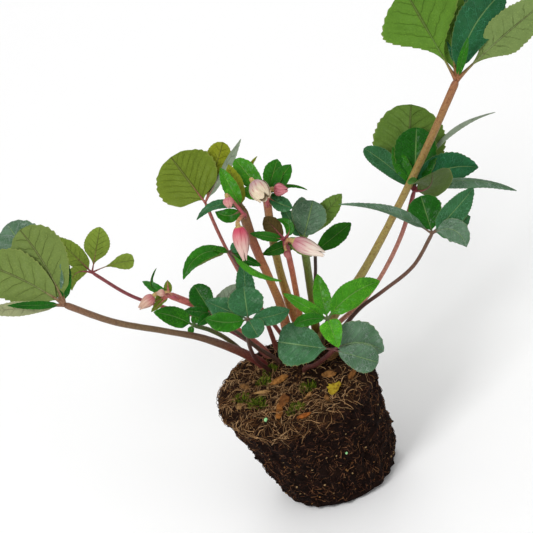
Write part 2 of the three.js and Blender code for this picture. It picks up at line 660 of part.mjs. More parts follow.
function ballProfile() {
  const profile = [new THREE.Vector2(0, 0), new THREE.Vector2(BALL_FOOT_RADIUS, 0)];
  for (let i = 0; i <= SIDE_RINGS; i += 1) {
    const s = i / SIDE_RINGS;
    const radius = THREE.MathUtils.lerp(BALL_BOTTOM_RADIUS, BALL_TOP_RADIUS, s);
    profile.push(new THREE.Vector2(radius, THREE.MathUtils.lerp(FOOT_EDGE, BALL_HEIGHT - TOP_EDGE, s)));
  }
  for (let i = TOP_RINGS; i >= 0; i -= 1) {
    profile.push(new THREE.Vector2((i / TOP_RINGS) * (BALL_TOP_RADIUS - TOP_EDGE), BALL_HEIGHT));
  }
  return profile;
}

function lump([x, y, long, wide, high, turn]) {
  const shape = new THREE.IcosahedronGeometry(0.5, 0).scale(long, wide, high);
  shape.rotateZ(THREE.MathUtils.degToRad(turn));
  const onSoil = new THREE.Vector3(x, y, soilRelief(x, y) + high * LUMP_RISE).add(SOIL_CENTRE);
  return solidOf(shape.translate(...onSoil));
}

function chip([x, y, long, wide, high, turn]) {
  const shape = new THREE.BoxGeometry(long, wide, high).rotateX(CHIP_TILT);
  shape.rotateZ(THREE.MathUtils.degToRad(turn));
  const onSoil = new THREE.Vector3(x, y, soilRelief(x, y)).add(SOIL_CENTRE);
  return solidOf(shape.translate(...onSoil));
}

function stalkHole(plant) {
  const radius = plant.radii[0] + HOLE_CLEARANCE;
  const depth = STALK_DEPTH + SEAT_GAP;
  const shape = new THREE.CylinderGeometry(radius, radius, depth * 2, HOLE_SIDES).rotateX(Math.PI / 2);
  return solidOf(shape.translate(...rootPoint(plant)));
}

function rootBallSolid() {
  const geometry = new THREE.LatheGeometry(ballProfile(), BALL_SEGMENTS).rotateX(Math.PI / 2);
  const position = geometry.attributes.position;
  for (let i = 0; i < position.count; i += 1) {
    const [x, y, z] = [position.getX(i), position.getY(i), position.getZ(i)];
    const radius = Math.hypot(x, y);
    const onSide = z > 0 && radius > BALL_FOOT_RADIUS && z < BALL_HEIGHT;
    const scale = onSide ? 1 + rootRelief(Math.atan2(y, x), z) / radius : 1;
    position.setXYZ(
      i,
      x * scale - (BALL_SKEW * z) / BALL_HEIGHT,
      y * scale,
      z < BALL_HEIGHT ? z : z + soilRelief(x, y),
    );
  }
  const ball = join([solidOf(geometry), ...MOSS_TUFTS.map(lump), ...BARK_CHIPS.map(chip)]);
  const plants = [...Object.values(LEAVES), ...Object.values(FLOWER_STEMS)];
  return plants.reduce((soil, plant) => soil.subtract(stalkHole(plant)), ball);
}

// A withered leaf, curled up along its sides, lying on the soil.
function fallenLeafSolid() {
  const { x, y, long, wide, turn, lift } = FALLEN_LEAF;
  const angle = THREE.MathUtils.degToRad(turn);
  const along = new THREE.Vector3(Math.cos(angle), Math.sin(angle), 0);
  const across = new THREE.Vector3(-Math.sin(angle), Math.cos(angle), 0);
  const start = new THREE.Vector3(x, y, lift).add(SOIL_CENTRE);
  return plate(5, 4, (s, t, face) => {
    const half = (wide / 2) * Math.max(LEAF_END_SHARE, Math.sin(Math.PI * s)) * t;
    const curl = LEAF_CURL * half * half + LEAF_RISE * (s - 0.5) ** 2 + (face * BLADE_THICKNESS) / 2;
    return start.clone()
      .addScaledVector(along, long * (s - 0.5))
      .addScaledVector(across, half)
      .setZ(start.z + curl);
  });
}

const hellebore = new THREE.Group();
hellebore.add(meshOf("root_ball", rootBallSolid(), SOIL_LOOK));
hellebore.add(meshOf("fallen_leaf", fallenLeafSolid(), WITHERED_LOOK));
for (const [name, plant] of Object.entries(LEAVES)) {
  hellebore.add(meshOf(`stalk_${name}`, stalkSolid(plant), STALK_LOOK));
  hellebore.add(meshOf(`leaf_${name}`, bladesSolid(plant), LEAF_LOOK));
}
for (const [name, plant] of Object.entries(FLOWER_STEMS)) {
  hellebore.add(meshOf(`stem_${name}`, flowerStemSolid(plant), STEM_LOOK));
  hellebore.add(meshOf(`bracts_${name}`, bladesSolid(plant), BRACT_LOOK));
  for (const [budName, bud] of Object.entries(plant.buds)) {
    const solid = bud.open > MOUTH_OPEN ? openBud(plant, bud) : shutBud(plant, bud);
    hellebore.add(meshOf(budName, solid, PETAL_LOOK));
  }
}

export default hellebore;
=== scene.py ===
import random
from math import copysign, cos, exp, log, pi, radians, remainder, sin, sqrt, tau
from types import SimpleNamespace

import bmesh
import bpy
from mathutils import Matrix, Vector, noise


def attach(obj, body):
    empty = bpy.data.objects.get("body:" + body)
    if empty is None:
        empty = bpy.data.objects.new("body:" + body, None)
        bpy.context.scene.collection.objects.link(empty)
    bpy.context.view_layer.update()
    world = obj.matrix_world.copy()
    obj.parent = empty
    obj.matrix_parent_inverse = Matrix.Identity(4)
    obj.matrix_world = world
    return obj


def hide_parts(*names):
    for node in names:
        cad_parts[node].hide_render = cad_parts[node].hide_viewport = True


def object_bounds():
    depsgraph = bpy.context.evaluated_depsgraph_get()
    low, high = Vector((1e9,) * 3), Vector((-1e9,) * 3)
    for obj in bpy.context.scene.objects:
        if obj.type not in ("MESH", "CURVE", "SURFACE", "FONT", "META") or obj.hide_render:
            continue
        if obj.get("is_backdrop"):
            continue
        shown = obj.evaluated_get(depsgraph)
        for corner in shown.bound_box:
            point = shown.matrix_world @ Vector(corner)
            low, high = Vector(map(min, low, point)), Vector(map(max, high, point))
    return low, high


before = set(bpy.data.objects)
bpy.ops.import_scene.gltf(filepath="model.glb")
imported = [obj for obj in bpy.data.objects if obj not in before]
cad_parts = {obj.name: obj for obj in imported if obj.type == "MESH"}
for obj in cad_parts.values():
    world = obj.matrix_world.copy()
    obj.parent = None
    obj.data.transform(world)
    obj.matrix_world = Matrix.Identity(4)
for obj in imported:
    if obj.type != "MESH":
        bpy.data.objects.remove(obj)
CAD_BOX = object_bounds()

# The plant is laid out in millimetres, as its solids are, and its meshes are written in metres.
MM = 0.001
LEAN = radians(20)
LOOK_DOWN = radians(35)
NEAR = Vector((0, -cos(LOOK_DOWN), sin(LOOK_DOWN)))
RISE = Vector((0, sin(LOOK_DOWN), cos(LOOK_DOWN)))
ACROSS = Vector((cos(LEAN), 0, 0)) - RISE * sin(LEAN)
UP = Vector((sin(LEAN), 0, 0)) + RISE * cos(LEAN)

# The root ball: a cone whose middle shifts as it rises, with a bulge at the back of its left side.
BALL_HEIGHT = 102
BALL_SKEW = 8
BALL_FOOT_RADIUS = 45
BALL_BOTTOM_RADIUS = 50
BALL_TOP_RADIUS = 65
FOOT_EDGE = 4
TOP_EDGE = 5
SIDE_TOP = BALL_HEIGHT - TOP_EDGE
RIM_RADIUS = BALL_TOP_RADIUS - TOP_EDGE
SIDE_RUN = SIDE_TOP - FOOT_EDGE + TOP_EDGE
SHOULDER_AT = radians(160)
SHOULDER_SPREAD = radians(48)
SHOULDER_OUT = 5
SOIL_CENTRE = Vector((-BALL_SKEW, 0, BALL_HEIGHT))
SOIL_COLUMNS = 220
TOP_RINGS = 44
SIDE_RINGS = 84
FOOT_RINGS = (0.97, 0.7, 0.35)

# The straw lies thickest, and hangs over the rim, on this side.
STRAW_SIDE = radians(215)

# Stalks: the heights of the points at a root, and where the way to the hub has its points.
ROOT_HEIGHTS = (-13, -6.5, 2)
WAY_POINTS = (0.3, 0.5, 0.75, 1)
PATH_STEP = 2.5
STALK_SIDES = 16
BUMP_SHARE = 0.05
BUMP_RUN = 9
RIDGE_SHARE = 0.03
RIDGES = 5
END_RUN = 4
END_TAPER = 0.4

# Blades: the arch is a share of the reach, other shares are of the width, and a pair is (least, most).
ARCH_SHARE = 0.06
RIPPLE_SHARE = 0.04
PUCKER_SHARE = 0.009
CREASE_SHARE = 0.02
CREASE_SPREAD = 0.12
BLADE_THICKNESS = 0.55
ROW_LENGTH = 1.15
ROWS = (14, 84)
STRIP_WIDTH = 1.7
STRIPS = (4, 14)
TEETH = 9
TOOTH_PITCHES = (1.6, 4.6)
VEINS = 8
VEIN_PITCHES = (3.5, 11)
VEIN_UNITS = 16
RIB_END = 0.92
RIB_STEP = 1.6
RIB_STEPS = (14, 50)
RIB_SIDES = 8

# Buds, and their own stalks, which pass the swollen end of the stem in front.
KNOB_LEAST = 2.2
KNOB_SHARE = 1.25
BUD_STALK_DOWN = 12
BUD_STALK_STEP = 1.5
BUD_STALK_SIDES = 10
BUD_STALK_CLEARANCE = 2.3
BUD_STALK_TINTS = "a8485a b9a060"
PETALS = 5
PETAL_THICKNESS = 0.4
STAMENS = 26
STAMEN_TINTS = "e6dfae d8cf8a"
GOLDEN_TURN = 2.4

# The withered leaf, from the middle of the soil.
WITHERED_AT = (27, -32, 1.6)
WITHERED_TURN = radians(55)
WITHERED_HALF = 5.6
WITHERED_REACH = 17

# Faces that meet at more than this stay sharp.
SHARP_ANGLE = radians(70)

# The view: centred this far across and up from the soil, and that many millimetres wide.
VIEW_CENTRE = (-25, 93)
VIEW_WIDTH = 437
VIEW_DISTANCE = 12000
SENSOR = 36

# The stage, in metres. Each light has a place, a size and a power, and shines on the plant's centre.
FLOOR_REACH = 14
SKY_STRENGTH = 0.6
LIT_CENTRE = Vector((0.03, 0, 0.18))
LIGHTS = (
    ("key", (-0.9, -1.1, 1.7), 0.7, 20),
    ("fill", (1.4, -1.2, 0.9), 1.4, 5),
    ("back", (0.2, 1.5, 1.5), 1.2, 9),
)


def linear(text):
    """A colour written as red, green and blue in hexadecimal, as the shader's linear values."""
    shares = [int(text[i:i + 2], 16) / 255 for i in (0, 2, 4)]
    return (*[c / 12.92 if c < 0.04045 else ((c + 0.055) / 1.055) ** 2.4 for c in shares], 1.0)


def palette(text):
    """The linear colours of a text that names them one after another."""
    return [linear(name) for name in text.split()]


# Leaf colours: the upper side and the underside.
LOOKS = dict(
    green="276f0c 7b8f3c",
    bright="3f8a14 8aa24c",
    lime="4ea31c 9ab24c",
    dark="155a08 66733a",
    blue="336a3e 7d9068",
    teal="236238 7e9252",
    grey="5a7a5e 8d9a84",
    olive="2f6a3a 788a45",
    young="3d8a14 90a63e",
    fresh="2c6347 638c2a",
    moss="2f7a20 778a28",
    sage="2f7a20 62802f",
    shade="3f7a2c 50662a",
    brown="3f7a2c 5c4a22",
    yellow="7d9420 93991c",
    silver="7f957f 939f8a",
    pale="1c5a2c a3a57c",
    mist="42724a 7d9068",
)


def blade(look, aim, reach, wide, near=0, widest=0.5, bow=0, turn=0, fold=10, neck=0.2, blunt=0.75):
    """A blade that leaves the hub at aim degrees, counter-clockwise from across.

    near is how far its tip comes forward, widest the place of its greatest width, bow how far it
    bends aside, and turn how far it is rolled about its rib, of which 180 shows the underside.
    """
    return SimpleNamespace(**locals())


def plant(root, hub, radii, tints, *blades, bow=0, sway=0, back=0, buds=()):
    """A stalk from its root to its hub, with its blades there; tints run from the soil up."""
    tints = palette(tints)
    return SimpleNamespace(**locals())


def bud(name, start, aim, reach, wide, near=0, open=0, tints="bb6a70 dcbfa8"):
    """A bud whose base lies at start from the stem's top; its tints are at its base and its tip."""
    return SimpleNamespace(**locals())


LEAVES = {}
LEAVES["far_left"] = plant(
    (-22, 34), (-189, 62, -30), (4.4, 2.5, 2.8), "8c3038 664832 6e5838 7e583c",
    blade("olive", 121, 71, 46, -16, 0.66, bow=-0.04, turn=180, blunt=0.55),
    blade("olive", 154, 80, 42, -2, 0.6, bow=-0.04, turn=180, fold=8),
    blade("grey", 126, 81, 46, -60, 0.62, fold=8, blunt=0.55),
    blade("pale", 185, 68, 12, 6, 0.55, turn=180),
    blade("dark", 181, 46, 7, 12),
    blade("dark", 93, 42, 14, -28),
    bow=-0.023, sway=-0.026, back=-5,
)
LEAVES["small_left"] = plant(
    (-20, 54), (-168, 88, 75), (2, 1.4, 1.5), "7a4444 8c4048 9a4c50",
    blade("young", 136, 42, 17, -4, turn=180),
    blade("young", 80, 38, 21, 4, 0.62, turn=180, neck=0.45, blunt=0.7),
    blade("young", 16, 36, 14, 0, 0.82, bow=0.05, turn=180, fold=20, neck=0.7, blunt=0.45),
    blade("young", 222, 22, 12, 2, bow=-0.38, turn=180),
    bow=-0.01, sway=-0.03,
)
LEAVES["low_left"] = plant(
    (-31, 46), (-85, 45, 15), (2.6, 1.9, 1.9), "6a4a38 5f5a30 4f6a34",
    blade("green", 162, 34, 17, 2, 0.45, bow=-0.06, fold=14),
    blade("green", 248, 9, 6, -3, turn=20),
    blade("green", 72, 12, 7, 8),
    bow=-0.1,
)
LEAVES["centre_left"] = plant(
    (-19, 22), (-40, 50, -12), (2.2, 1.6, 1.6), "3f1c1c 4a2420 5a4a38",
    blade("blue", 157, 38, 20, -2, fold=12),
    blade("blue", 98, 27, 30, 4, 0.55, fold=12, blunt=0.5),
    blade("green", 179, 35, 17, 4, 0.55, bow=0.08, fold=14),
    blade("blue", 300, 17, 20, 6, fold=12, blunt=0.5),
    blade("blue", 13, 35, 16, 0, 0.55, bow=-0.05, fold=16),
    blade("blue", 95, 49, 16, -8, fold=8),
    bow=0.15,
)
LEAVES["dark_left"] = plant(
    (-9, 30), (-70, 55, 5), (2, 1.4, 1.4), "5a3a30 4a3a2a 4a5030",
    blade("dark", 122, 27, 20, -5, 0.6, blunt=0.55),
    blade("dark", 174, 22, 9),
    blade("dark", 221, 15, 9, 4),
    blade("silver", 46, 34, 14, -12, turn=180),
    blade("olive", 16, 18, 8, 5, turn=180),
    back=5,
)
LEAVES["arching"] = plant(
    (-7, 50), (-55, 105, 10), (2.2, 1.7, 1.7), "8c5448 9a5a50 5f3836",
    blade("green", 211, 44, 13, 6, bow=-0.23, fold=18),
    blade("olive", 205, 36, 9, -4, bow=-0.11, turn=150),
    blade("green", 167, 15, 6, 5, turn=30),
    blade("blue", 37, 12, 9, 9, 0.55),
    blade("bright", 331, 49, 9, 18, bow=-0.07, turn=50, fold=30),
    blade("dark", 336, 28, 9, 4, turn=20),
    bow=-0.035, back=7,
)
LEAVES["upper_left"] = plant(
    (2, 56), (-75, 145, 70), (2.1, 1.4, 1.5), "9a5c54 a8685e a0584f",
    blade("moss", 127, 47, 54, 2, 0.55, turn=180, fold=6, blunt=0.5),
    blade("yellow", 74, 52, 21, -12, 0.74, turn=180, fold=8, blunt=0.5),
    blade("silver", 61, 60, 13, -4, turn=125),
    bow=0.035,
)
LEAVES["slender"] = plant(
    (20, 56), (15, 105, 80), (1.9, 1.4, 1.4), "4a3a2a 4a2f2a 3a2a22",
    blade("green", 39, 38, 17, 2, 0.55, fold=14, neck=0.12),
    bow=-0.04,
)
LEAVES["top_right"] = plant(
    (28, 36), (130, 245, 60), (4.2, 3, 3.3), "84763c 988a46 98803f 96603a",
    blade("fresh", 120, 84, 74, 6, 0.6, turn=180, fold=8, neck=0.75, blunt=0.6),
    blade("fresh", 97, 88, 30, -14, 0.6, turn=180, fold=8),
    blade("teal", 61, 86, 34, -24, 0.6, bow=0.1, fold=8),
    blade("green", 75, 36, 7, 12),
    blade("teal", 41, 108, 34, 10, bow=0.02, turn=180, neck=0.5),
    blade("teal", 83, 94, 34, -50, 0.6, fold=8),
    bow=-0.02,
)
LEAVES["right"] = plant(
    (38, 43), (96, 155, 54), (2.2, 1.8, 1.9), "a8705f b8806c b07868 7a2430",
    blade("sage", 92, 71, 60, -8, 0.58, bow=0.03, turn=180, blunt=0.5),
    blade("blue", 140, 54, 20, 2, 0.66, bow=-0.04, turn=25, blunt=0.55),
    blade("dark", 88, 52, 36, -4, 0.6, fold=8, blunt=0.5),
    blade("green", 116, 40, 14, 0, 0.55),
    blade("shade", 46, 20, 38, 52, 0.7, bow=-0.3, turn=209, blunt=0.5),
    blade("teal", 20, 56, 28, -4, bow=0.14, fold=12),
    blade("grey", 0, 84, 14, 4, bow=0.1, turn=50, fold=20),
    blade("silver", 44, 93, 11, -18, bow=0.15, turn=112, fold=5),
    bow=-0.085, back=3,
)
LEAVES["lower_right"] = plant(
    (37, 24), (110, 120, -25), (2.3, 1.6, 1.6), "4a2c24 5c3a2e 664a34",
    blade("grey", 163, 80, 14, 12, 0.3, bow=-0.08, turn=55, fold=15),
    blade("dark", 107, 32, 28, -5, 0.65, fold=8, blunt=0.5),
    blade("blue", 48, 50, 22, bow=-0.02, turn=20, fold=14),
    blade("blue", 24, 34, 22, -2, fold=8),
    blade("grey", 338, 30, 20, 4, 0.55, bow=0.3, fold=8),
    sway=0.045,
)
LEAVES["front_bright"] = plant(
    (23, 22), (25, 50, -10), (2.2, 1.7, 1.7), "5a2c28 4f3a28 4a5a2c",
    blade("bright", 150, 42, 11, -4, 0.45, fold=16),
    blade("bright", 103, 38, 15, -6, 0.45, bow=0.01, fold=14),
    blade("bright", 36, 53, 22, -4, bow=0.09, fold=16),
    blade("lime", 291, 25, 19, 6, 0.32, fold=16, neck=0.12),
    blade("green", 190, 28, 11, 2, 0.6, bow=-0.09, fold=12, blunt=0.55),
)
LEAVES["front_blue"] = plant(
    (9, 8), (30, 25, -20), (2.4, 1.9, 2), "4a2a22 6e3a33 5a2a28",
    blade("mist", 172, 46, 36, -4, 0.72, fold=8, neck=0.35, blunt=0.4),
    blade("grey", 358, 41, 37, -6, 0.42, bow=0.16, fold=8),
    blade("grey", 344, 38, 24, 2, 0.68, fold=8, blunt=0.5),
    bow=-0.04,
)

STEMS = {}
STEMS["low"] = plant(
    (-16, 46), (-105, 70, 10), (3.6, 2.8, 3), "b87a70 c0655a b5605a",
    blade("moss", 153, 24, 8, -3, fold=15),
    blade("moss", 114, 24, 6, -3, bow=0.4, turn=60, fold=20),
    blade("moss", 94, 12, 7, -2, 0.45, turn=180),
    blade("moss", 207, 13, 9, -4, turn=180),
    blade("moss", 225, 20, 6, -4, turn=160, fold=15),
    bow=-0.06,
    buds=[
        bud("bud_low", (-12, -1, 8), 221, 16, 10, near=2, tints="b4666a cda892"),
        bud("bud_low_small", (-3, 2, 12), 190, 7, 6, near=2, tints="b87c74 c8a48e"),
    ],
)
STEMS["left"] = plant(
    (4, 40), (-45, 140, 20), (5, 3.3, 4.2), "d89484 c6845c b47c40 9e583c 665026",
    blade("bright", 118, 38, 13, -3, fold=15),
    blade("yellow", 107, 38, 15, -11, turn=180),
    blade("blue", 194, 38, 9, 2, bow=-0.2, turn=30, fold=15),
    blade("green", 186, 22, 12, -3, bow=0.2, fold=12),
    bow=-0.02, sway=-0.015,
    buds=[
        bud("bud_small", (-12, 9, 16), 285, 9, 9, near=2, tints="c4707a cc8f88"),
        bud("bud_hanging", (-3, -14, 11), 281, 29, 14, tints="c8405e d8b6aa"),
    ],
)
STEMS["top"] = plant(
    (17, 45), (-25, 150, 35), (5, 3.3, 3.4), "d89484 be8650 aa9040 9c8a40 a86450",
    blade("bright", 130, 40, 18, -8, 0.62, fold=14, blunt=0.55),
    blade("green", 74, 32, 17, -5, 0.6, fold=16),
    blade("green", 53, 33, 14, -4, 0.62, fold=14),
    blade("green", 9, 34, 7, -2, bow=0.2, turn=60, fold=20),
    blade("dark", 350, 14, 9, -4),
    blade("blue", 337, 23, 13, 8, 0.62, bow=-0.04, fold=12),
    blade("yellow", 103, 34, 7, -16, bow=0.35, turn=180),
    blade("bright", 166, 23, 11, 6),
    bow=0.04, back=3,
    buds=[
        bud("bud_open", (-11, 12, 21), 306, 19, 18, near=8, open=0.6, tints="b48f92 dccdb0"),
        bud("bud_right", (6, 6, 9), 356, 12, 11, near=3, tints="c66a76 c4757c"),
    ],
)
STEMS["centre"] = plant(
    (13, 31), (-10, 115, 20), (3.4, 2.3, 2.6), "c08458 c07a46 b26a40 963c48",
    blade("brown", 133, 25, 15, 0, 0.6, turn=180, fold=15),
    blade("green", 111, 18, 8, -2, bow=-0.4),
    blade("green", 345, 15, 8, -3),
    blade("olive", 328, 26, 8, 5, 0.55, turn=180),
    blade("green", 170, 29, 8, 18),
    bow=-0.02,
    buds=[
        bud("bud_striped", (6, -1, 10), 337, 29, 14, near=2, open=0.15, tints="bb7680 e6d6c6"),
        bud("bud_centre_small", (1, -9, 9), 290, 8, 6, near=2, tints="8a4048 a8605c"),
    ],
)
STEMS["right"] = plant(
    (28, 47), (5, 115, 30), (4, 3.2, 3.2), "8a602c 7c742c 68762a 5a7630",
    blade("grey", 76, 33, 29, 2, 0.64, fold=8, blunt=0.5),
    blade("sage", 50, 49, 17, -2, 0.6, turn=180),
    blade("grey", 92, 35, 18, -10, 0.6, fold=8),
    blade("blue", 123, 33, 12, -8),
    blade("green", 200, 36, 11, -3, fold=8),
)


def clamp(value, low, high):
    return max(low, min(high, value))


def smooth(low, high, value):
    share = clamp((value - low) / (high - low), 0, 1)
    return share * share * (3 - 2 * share)


def blend(low, high, share):
    return low + (high - low) * share


def place(across, up, depth):
    """The point seen at across and up from the middle of the soil, and lying at y = depth."""
    point = SOIL_CENTRE + ACROSS * across + UP * up
    return point + NEAR * ((point.y - depth) / cos(LOOK_DOWN))


def heading(degrees):
    angle = radians(degrees)
    return ACROSS * cos(angle) + UP * sin(angle)


def mixed(low, high, share):
    """The colour at this share of the way from low to high."""
    return tuple(blend(a, b, share) for a, b in zip(low, high))


def gradient(colours):
    """A function from 0 to 1 through these colours."""

    def at(share):
        place_in = clamp(share, 0, 1) * (len(colours) - 1)
        first = min(int(place_in), len(colours) - 2)
        return mixed(colours[first], colours[first + 1], place_in - first)

    return at


def add_object(name, data):
    made = bpy.data.objects.new(name, data)
    bpy.context.scene.collection.objects.link(made)
    return made


class Shape:
    """A mesh being put together, in millimetres. Each point has a texture place and two tints."""

    def __init__(self):
        self.points, self.places, self.tints, self.under_tints = [], [], [], []
        self.faces, self.slots = [], []

    def point(self, where, uv, tint, under=None):
        self.points.append(where * MM)
        self.places.append(uv)
        self.tints.append(tint)
        self.under_tints.append(under or tint)
        return len(self.points) - 1

    def face(self, corners, slot=0):
        self.faces.append(corners)
        self.slots.append(slot)

    def sheet(self, rows, columns, surface, thickness, uv, tint, under, slots=(0, 1)):
        """A thin closed sheet. surface(s, t) gives a point and the direction of its upper side."""
        upper, lower = {}, {}
        for i in range(rows + 1):
            for j in range(columns + 1):
                s, t = i / rows, 2 * j / columns - 1
                where, facing = surface(s, t)
                rim = i in (0, rows) or j in (0, columns)
                half = facing * (0 if rim else thickness / 2)
                upper[i, j] = self.point(where + half, uv(s, t), tint, under)
                lower[i, j] = upper[i, j] if rim else self.point(where - half, uv(s, t), tint, under)
        for i in range(rows):
            for j in range(columns):
                cell = [(i, j), (i + 1, j), (i + 1, j + 1), (i, j + 1)]
                self.face([upper[c] for c in cell], slots[0])
                self.face([lower[c] for c in reversed(cell)], slots[1])

    def join(self, rings, slot=0):
        """The faces between each ring of points and the next."""
        for low, high in zip(rings, rings[1:]):
            for k in range(len(low)):
                after = (k + 1) % len(low)
                self.face([low[k], low[after], high[after], high[k]], slot)

    def tube(self, path, radius, sides, tint, slot=0):
        """A closed tube along a path. radius(s, angle) and tint(s) run from 0 to 1 along it."""
        rings = []
        last = len(path) - 1
        tangents = [(path[min(k + 1, last)] - path[max(k - 1, 0)]).normalized() for k in range(last + 1)]
        normal = tangents[0].orthogonal().normalized()
        for k, (centre, tangent) in enumerate(zip(path, tangents)):
            normal = (normal - tangent * normal.dot(tangent)).normalized()
            binormal = tangent.cross(normal)
            s = k / last
            colour = tint(s)
            ring = []
            for side in range(sides):
                angle = tau * side / sides
                spoke = normal * cos(angle) + binormal * sin(angle)
                ring.append(self.point(centre + spoke * radius(s, angle), (s, side / sides), colour))
            rings.append(ring)
        self.join(rings, slot)
        self.face(rings[0][::-1], slot)
        self.face(rings[-1], slot)

    def lump(self, centre, size, tint, seed, turn=0, detail=1):
        """A rough rounded lump, such as a crumb of soil, with broad dents and fine ones."""
        ball = bmesh.new()
        bmesh.ops.create_icosphere(ball, subdivisions=detail, radius=0.5)
        turned = Matrix.Rotation(turn, 3, "Z")
        first = len(self.points)
        for vertex in ball.verts:
            rough = 1 + 0.35 * noise.noise(vertex.co * 2.3 + Vector((seed, seed * 0.7, 0)))
            rough += 0.3 * noise.noise(vertex.co * 8 + Vector((seed, 0, seed)))
            scaled = Vector([along * share for along, share in zip(vertex.co, size)])
            self.point(centre + turned @ (scaled * rough), (0.5, 0.5), tint)
        for face in ball.faces:
            self.face([first + v.index for v in face.verts])
        ball.free()

    def build(self, name, slot, materials, replaced=()):
        """The finished object, riding on the part, in place of the nodes that it stands for."""
        mesh = bpy.data.meshes.new(name)
        mesh.from_pydata(self.points, [], self.faces)
        mesh.polygons.foreach_set("material_index", self.slots)
        mesh.polygons.foreach_set("use_smooth", [True] * len(self.faces))
        corners = [0] * len(mesh.loops)
        mesh.loops.foreach_get("vertex_index", corners)
        layer = mesh.uv_layers.new(name="UVMap")
        layer.data.foreach_set("uv", [value for corner in corners for value in self.places[corner]])
        for attribute, colours in (("tint", self.tints), ("tint_under", self.under_tints)):
            layer = mesh.color_attributes.new(name=attribute, type="FLOAT_COLOR", domain="POINT")
            layer.data.foreach_set("color", [value for colour in colours for value in colour])
        for material in materials:
            mesh.materials.append(material)
        tidy = bmesh.new()
        tidy.from_mesh(mesh)
        bmesh.ops.recalc_face_normals(tidy, faces=tidy.faces)
        tidy.to_mesh(mesh)
        tidy.free()
        mesh.set_sharp_from_angle(angle=SHARP_ANGLE)
        piece = add_object(name, mesh)
        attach(piece, "root")
        if replaced:
            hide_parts(*replaced)
        return piece


# The sockets of the Mix node that take and give colours.
MIX_SHARE, MIX_A, MIX_B, MIX_RESULT = 0, 6, 7, 2


class Graph:
    """A material's nodes. Most calls add a node and give back its output."""

    def __init__(self, name, **constants):
        self.material = bpy.data.materials.new(name)
        self.material.use_nodes = True
        self.tree = self.material.node_tree
        self.shader = self.tree.nodes["Principled BSDF"]
        self.set_shader(**constants)

    def set_shader(self, **values):
        for key, value in values.items():
            self.fill(self.shader.inputs[key.replace("_", " ")], value)

    def fill(self, socket, value):
        if isinstance(value, bpy.types.NodeSocket):
            self.tree.links.new(value, socket)
        else:
            socket.default_value = value

    def node(self, kind, inputs, output=0, **settings):
        node = self.tree.nodes.new("ShaderNode" + kind)
        for key, value in settings.items():
            setattr(node, key, value)
        for key, value in inputs.items():
            self.fill(node.inputs[key], value)
        return node.outputs[output]

    def math(self, operation, *values):
        return self.node("Math", dict(enumerate(values)), operation=operation)

    def plus(self, a, b):
        return self.math("ADD", a, b)

    def times(self, a, b):
        return self.math("MULTIPLY", a, b)

    def attribute(self, name):
        return self.node("Attribute", {}, attribute_name=name)

    def position(self):
        return self.node("TexCoord", {}, output="Object")

    def uv(self):
        return self.node("TexCoord", {}, output="UV")

    def axis(self, vector, name):
        return self.node("SeparateXYZ", {0: vector}, output=name)

    def noise(self, scale, detail=3, roughness=0.55, vector=None):
        """Soft noise of that many cells a metre, or a unit of the given vector."""
        where = vector or self.position()
        inputs = {"Vector": where, "Scale": scale, "Detail": detail, "Roughness": roughness}
        return self.node("TexNoise", inputs)

    def cells(self, scale, **settings):
        return self.node("TexVoronoi", {"Vector": self.position(), "Scale": scale}, **settings)

    def band(self, value, low, high):
        """0 below low and 1 above high, or the other way round where low is the greater."""
        inputs = {"Value": value, "From Min": low, "From Max": high}
        return self.node("MapRange", inputs, interpolation_type="SMOOTHSTEP")

    def mix(self, share, a, b, kind="MIX"):
        inputs = {MIX_SHARE: share, MIX_A: a, MIX_B: b}
        return self.node("Mix", inputs, output=MIX_RESULT, data_type="RGBA", blend_type=kind)

    def toned(self, colour, tone):
        """The colour times a tone's red, green and blue."""
        return self.mix(1, colour, (*tone, 1), "MULTIPLY")

    def finish(self, colour, height, distance):
        """The material in this colour, with bumps of this height."""
        normal = self.node("Bump", {"Height": height, "Distance": distance})
        self.set_shader(Base_Color=colour, Normal=normal)
        return self.material


# What leaves and bracts have alike on each side: the tint, the darkest and lightest tone of the soft
# blotches, which are partly uneven colour and partly painted shade of the leaf's waves, how strong the
# fine net of veins is, and how far the veins stand up (inwards on top).
UPPER = dict(
    tint="tint", tones=((0.56, 0.65, 0.56), (0.95, 0.96, 0.95)), net_share=1, raised=-1, rib_share=0.4,
)
LOWER = dict(
    tint="tint_under", tones=((0.72, 0.77, 0.72), (0.8, 0.84, 0.8)), net_share=0.35, raised=1,
    roughness=0.55,
)


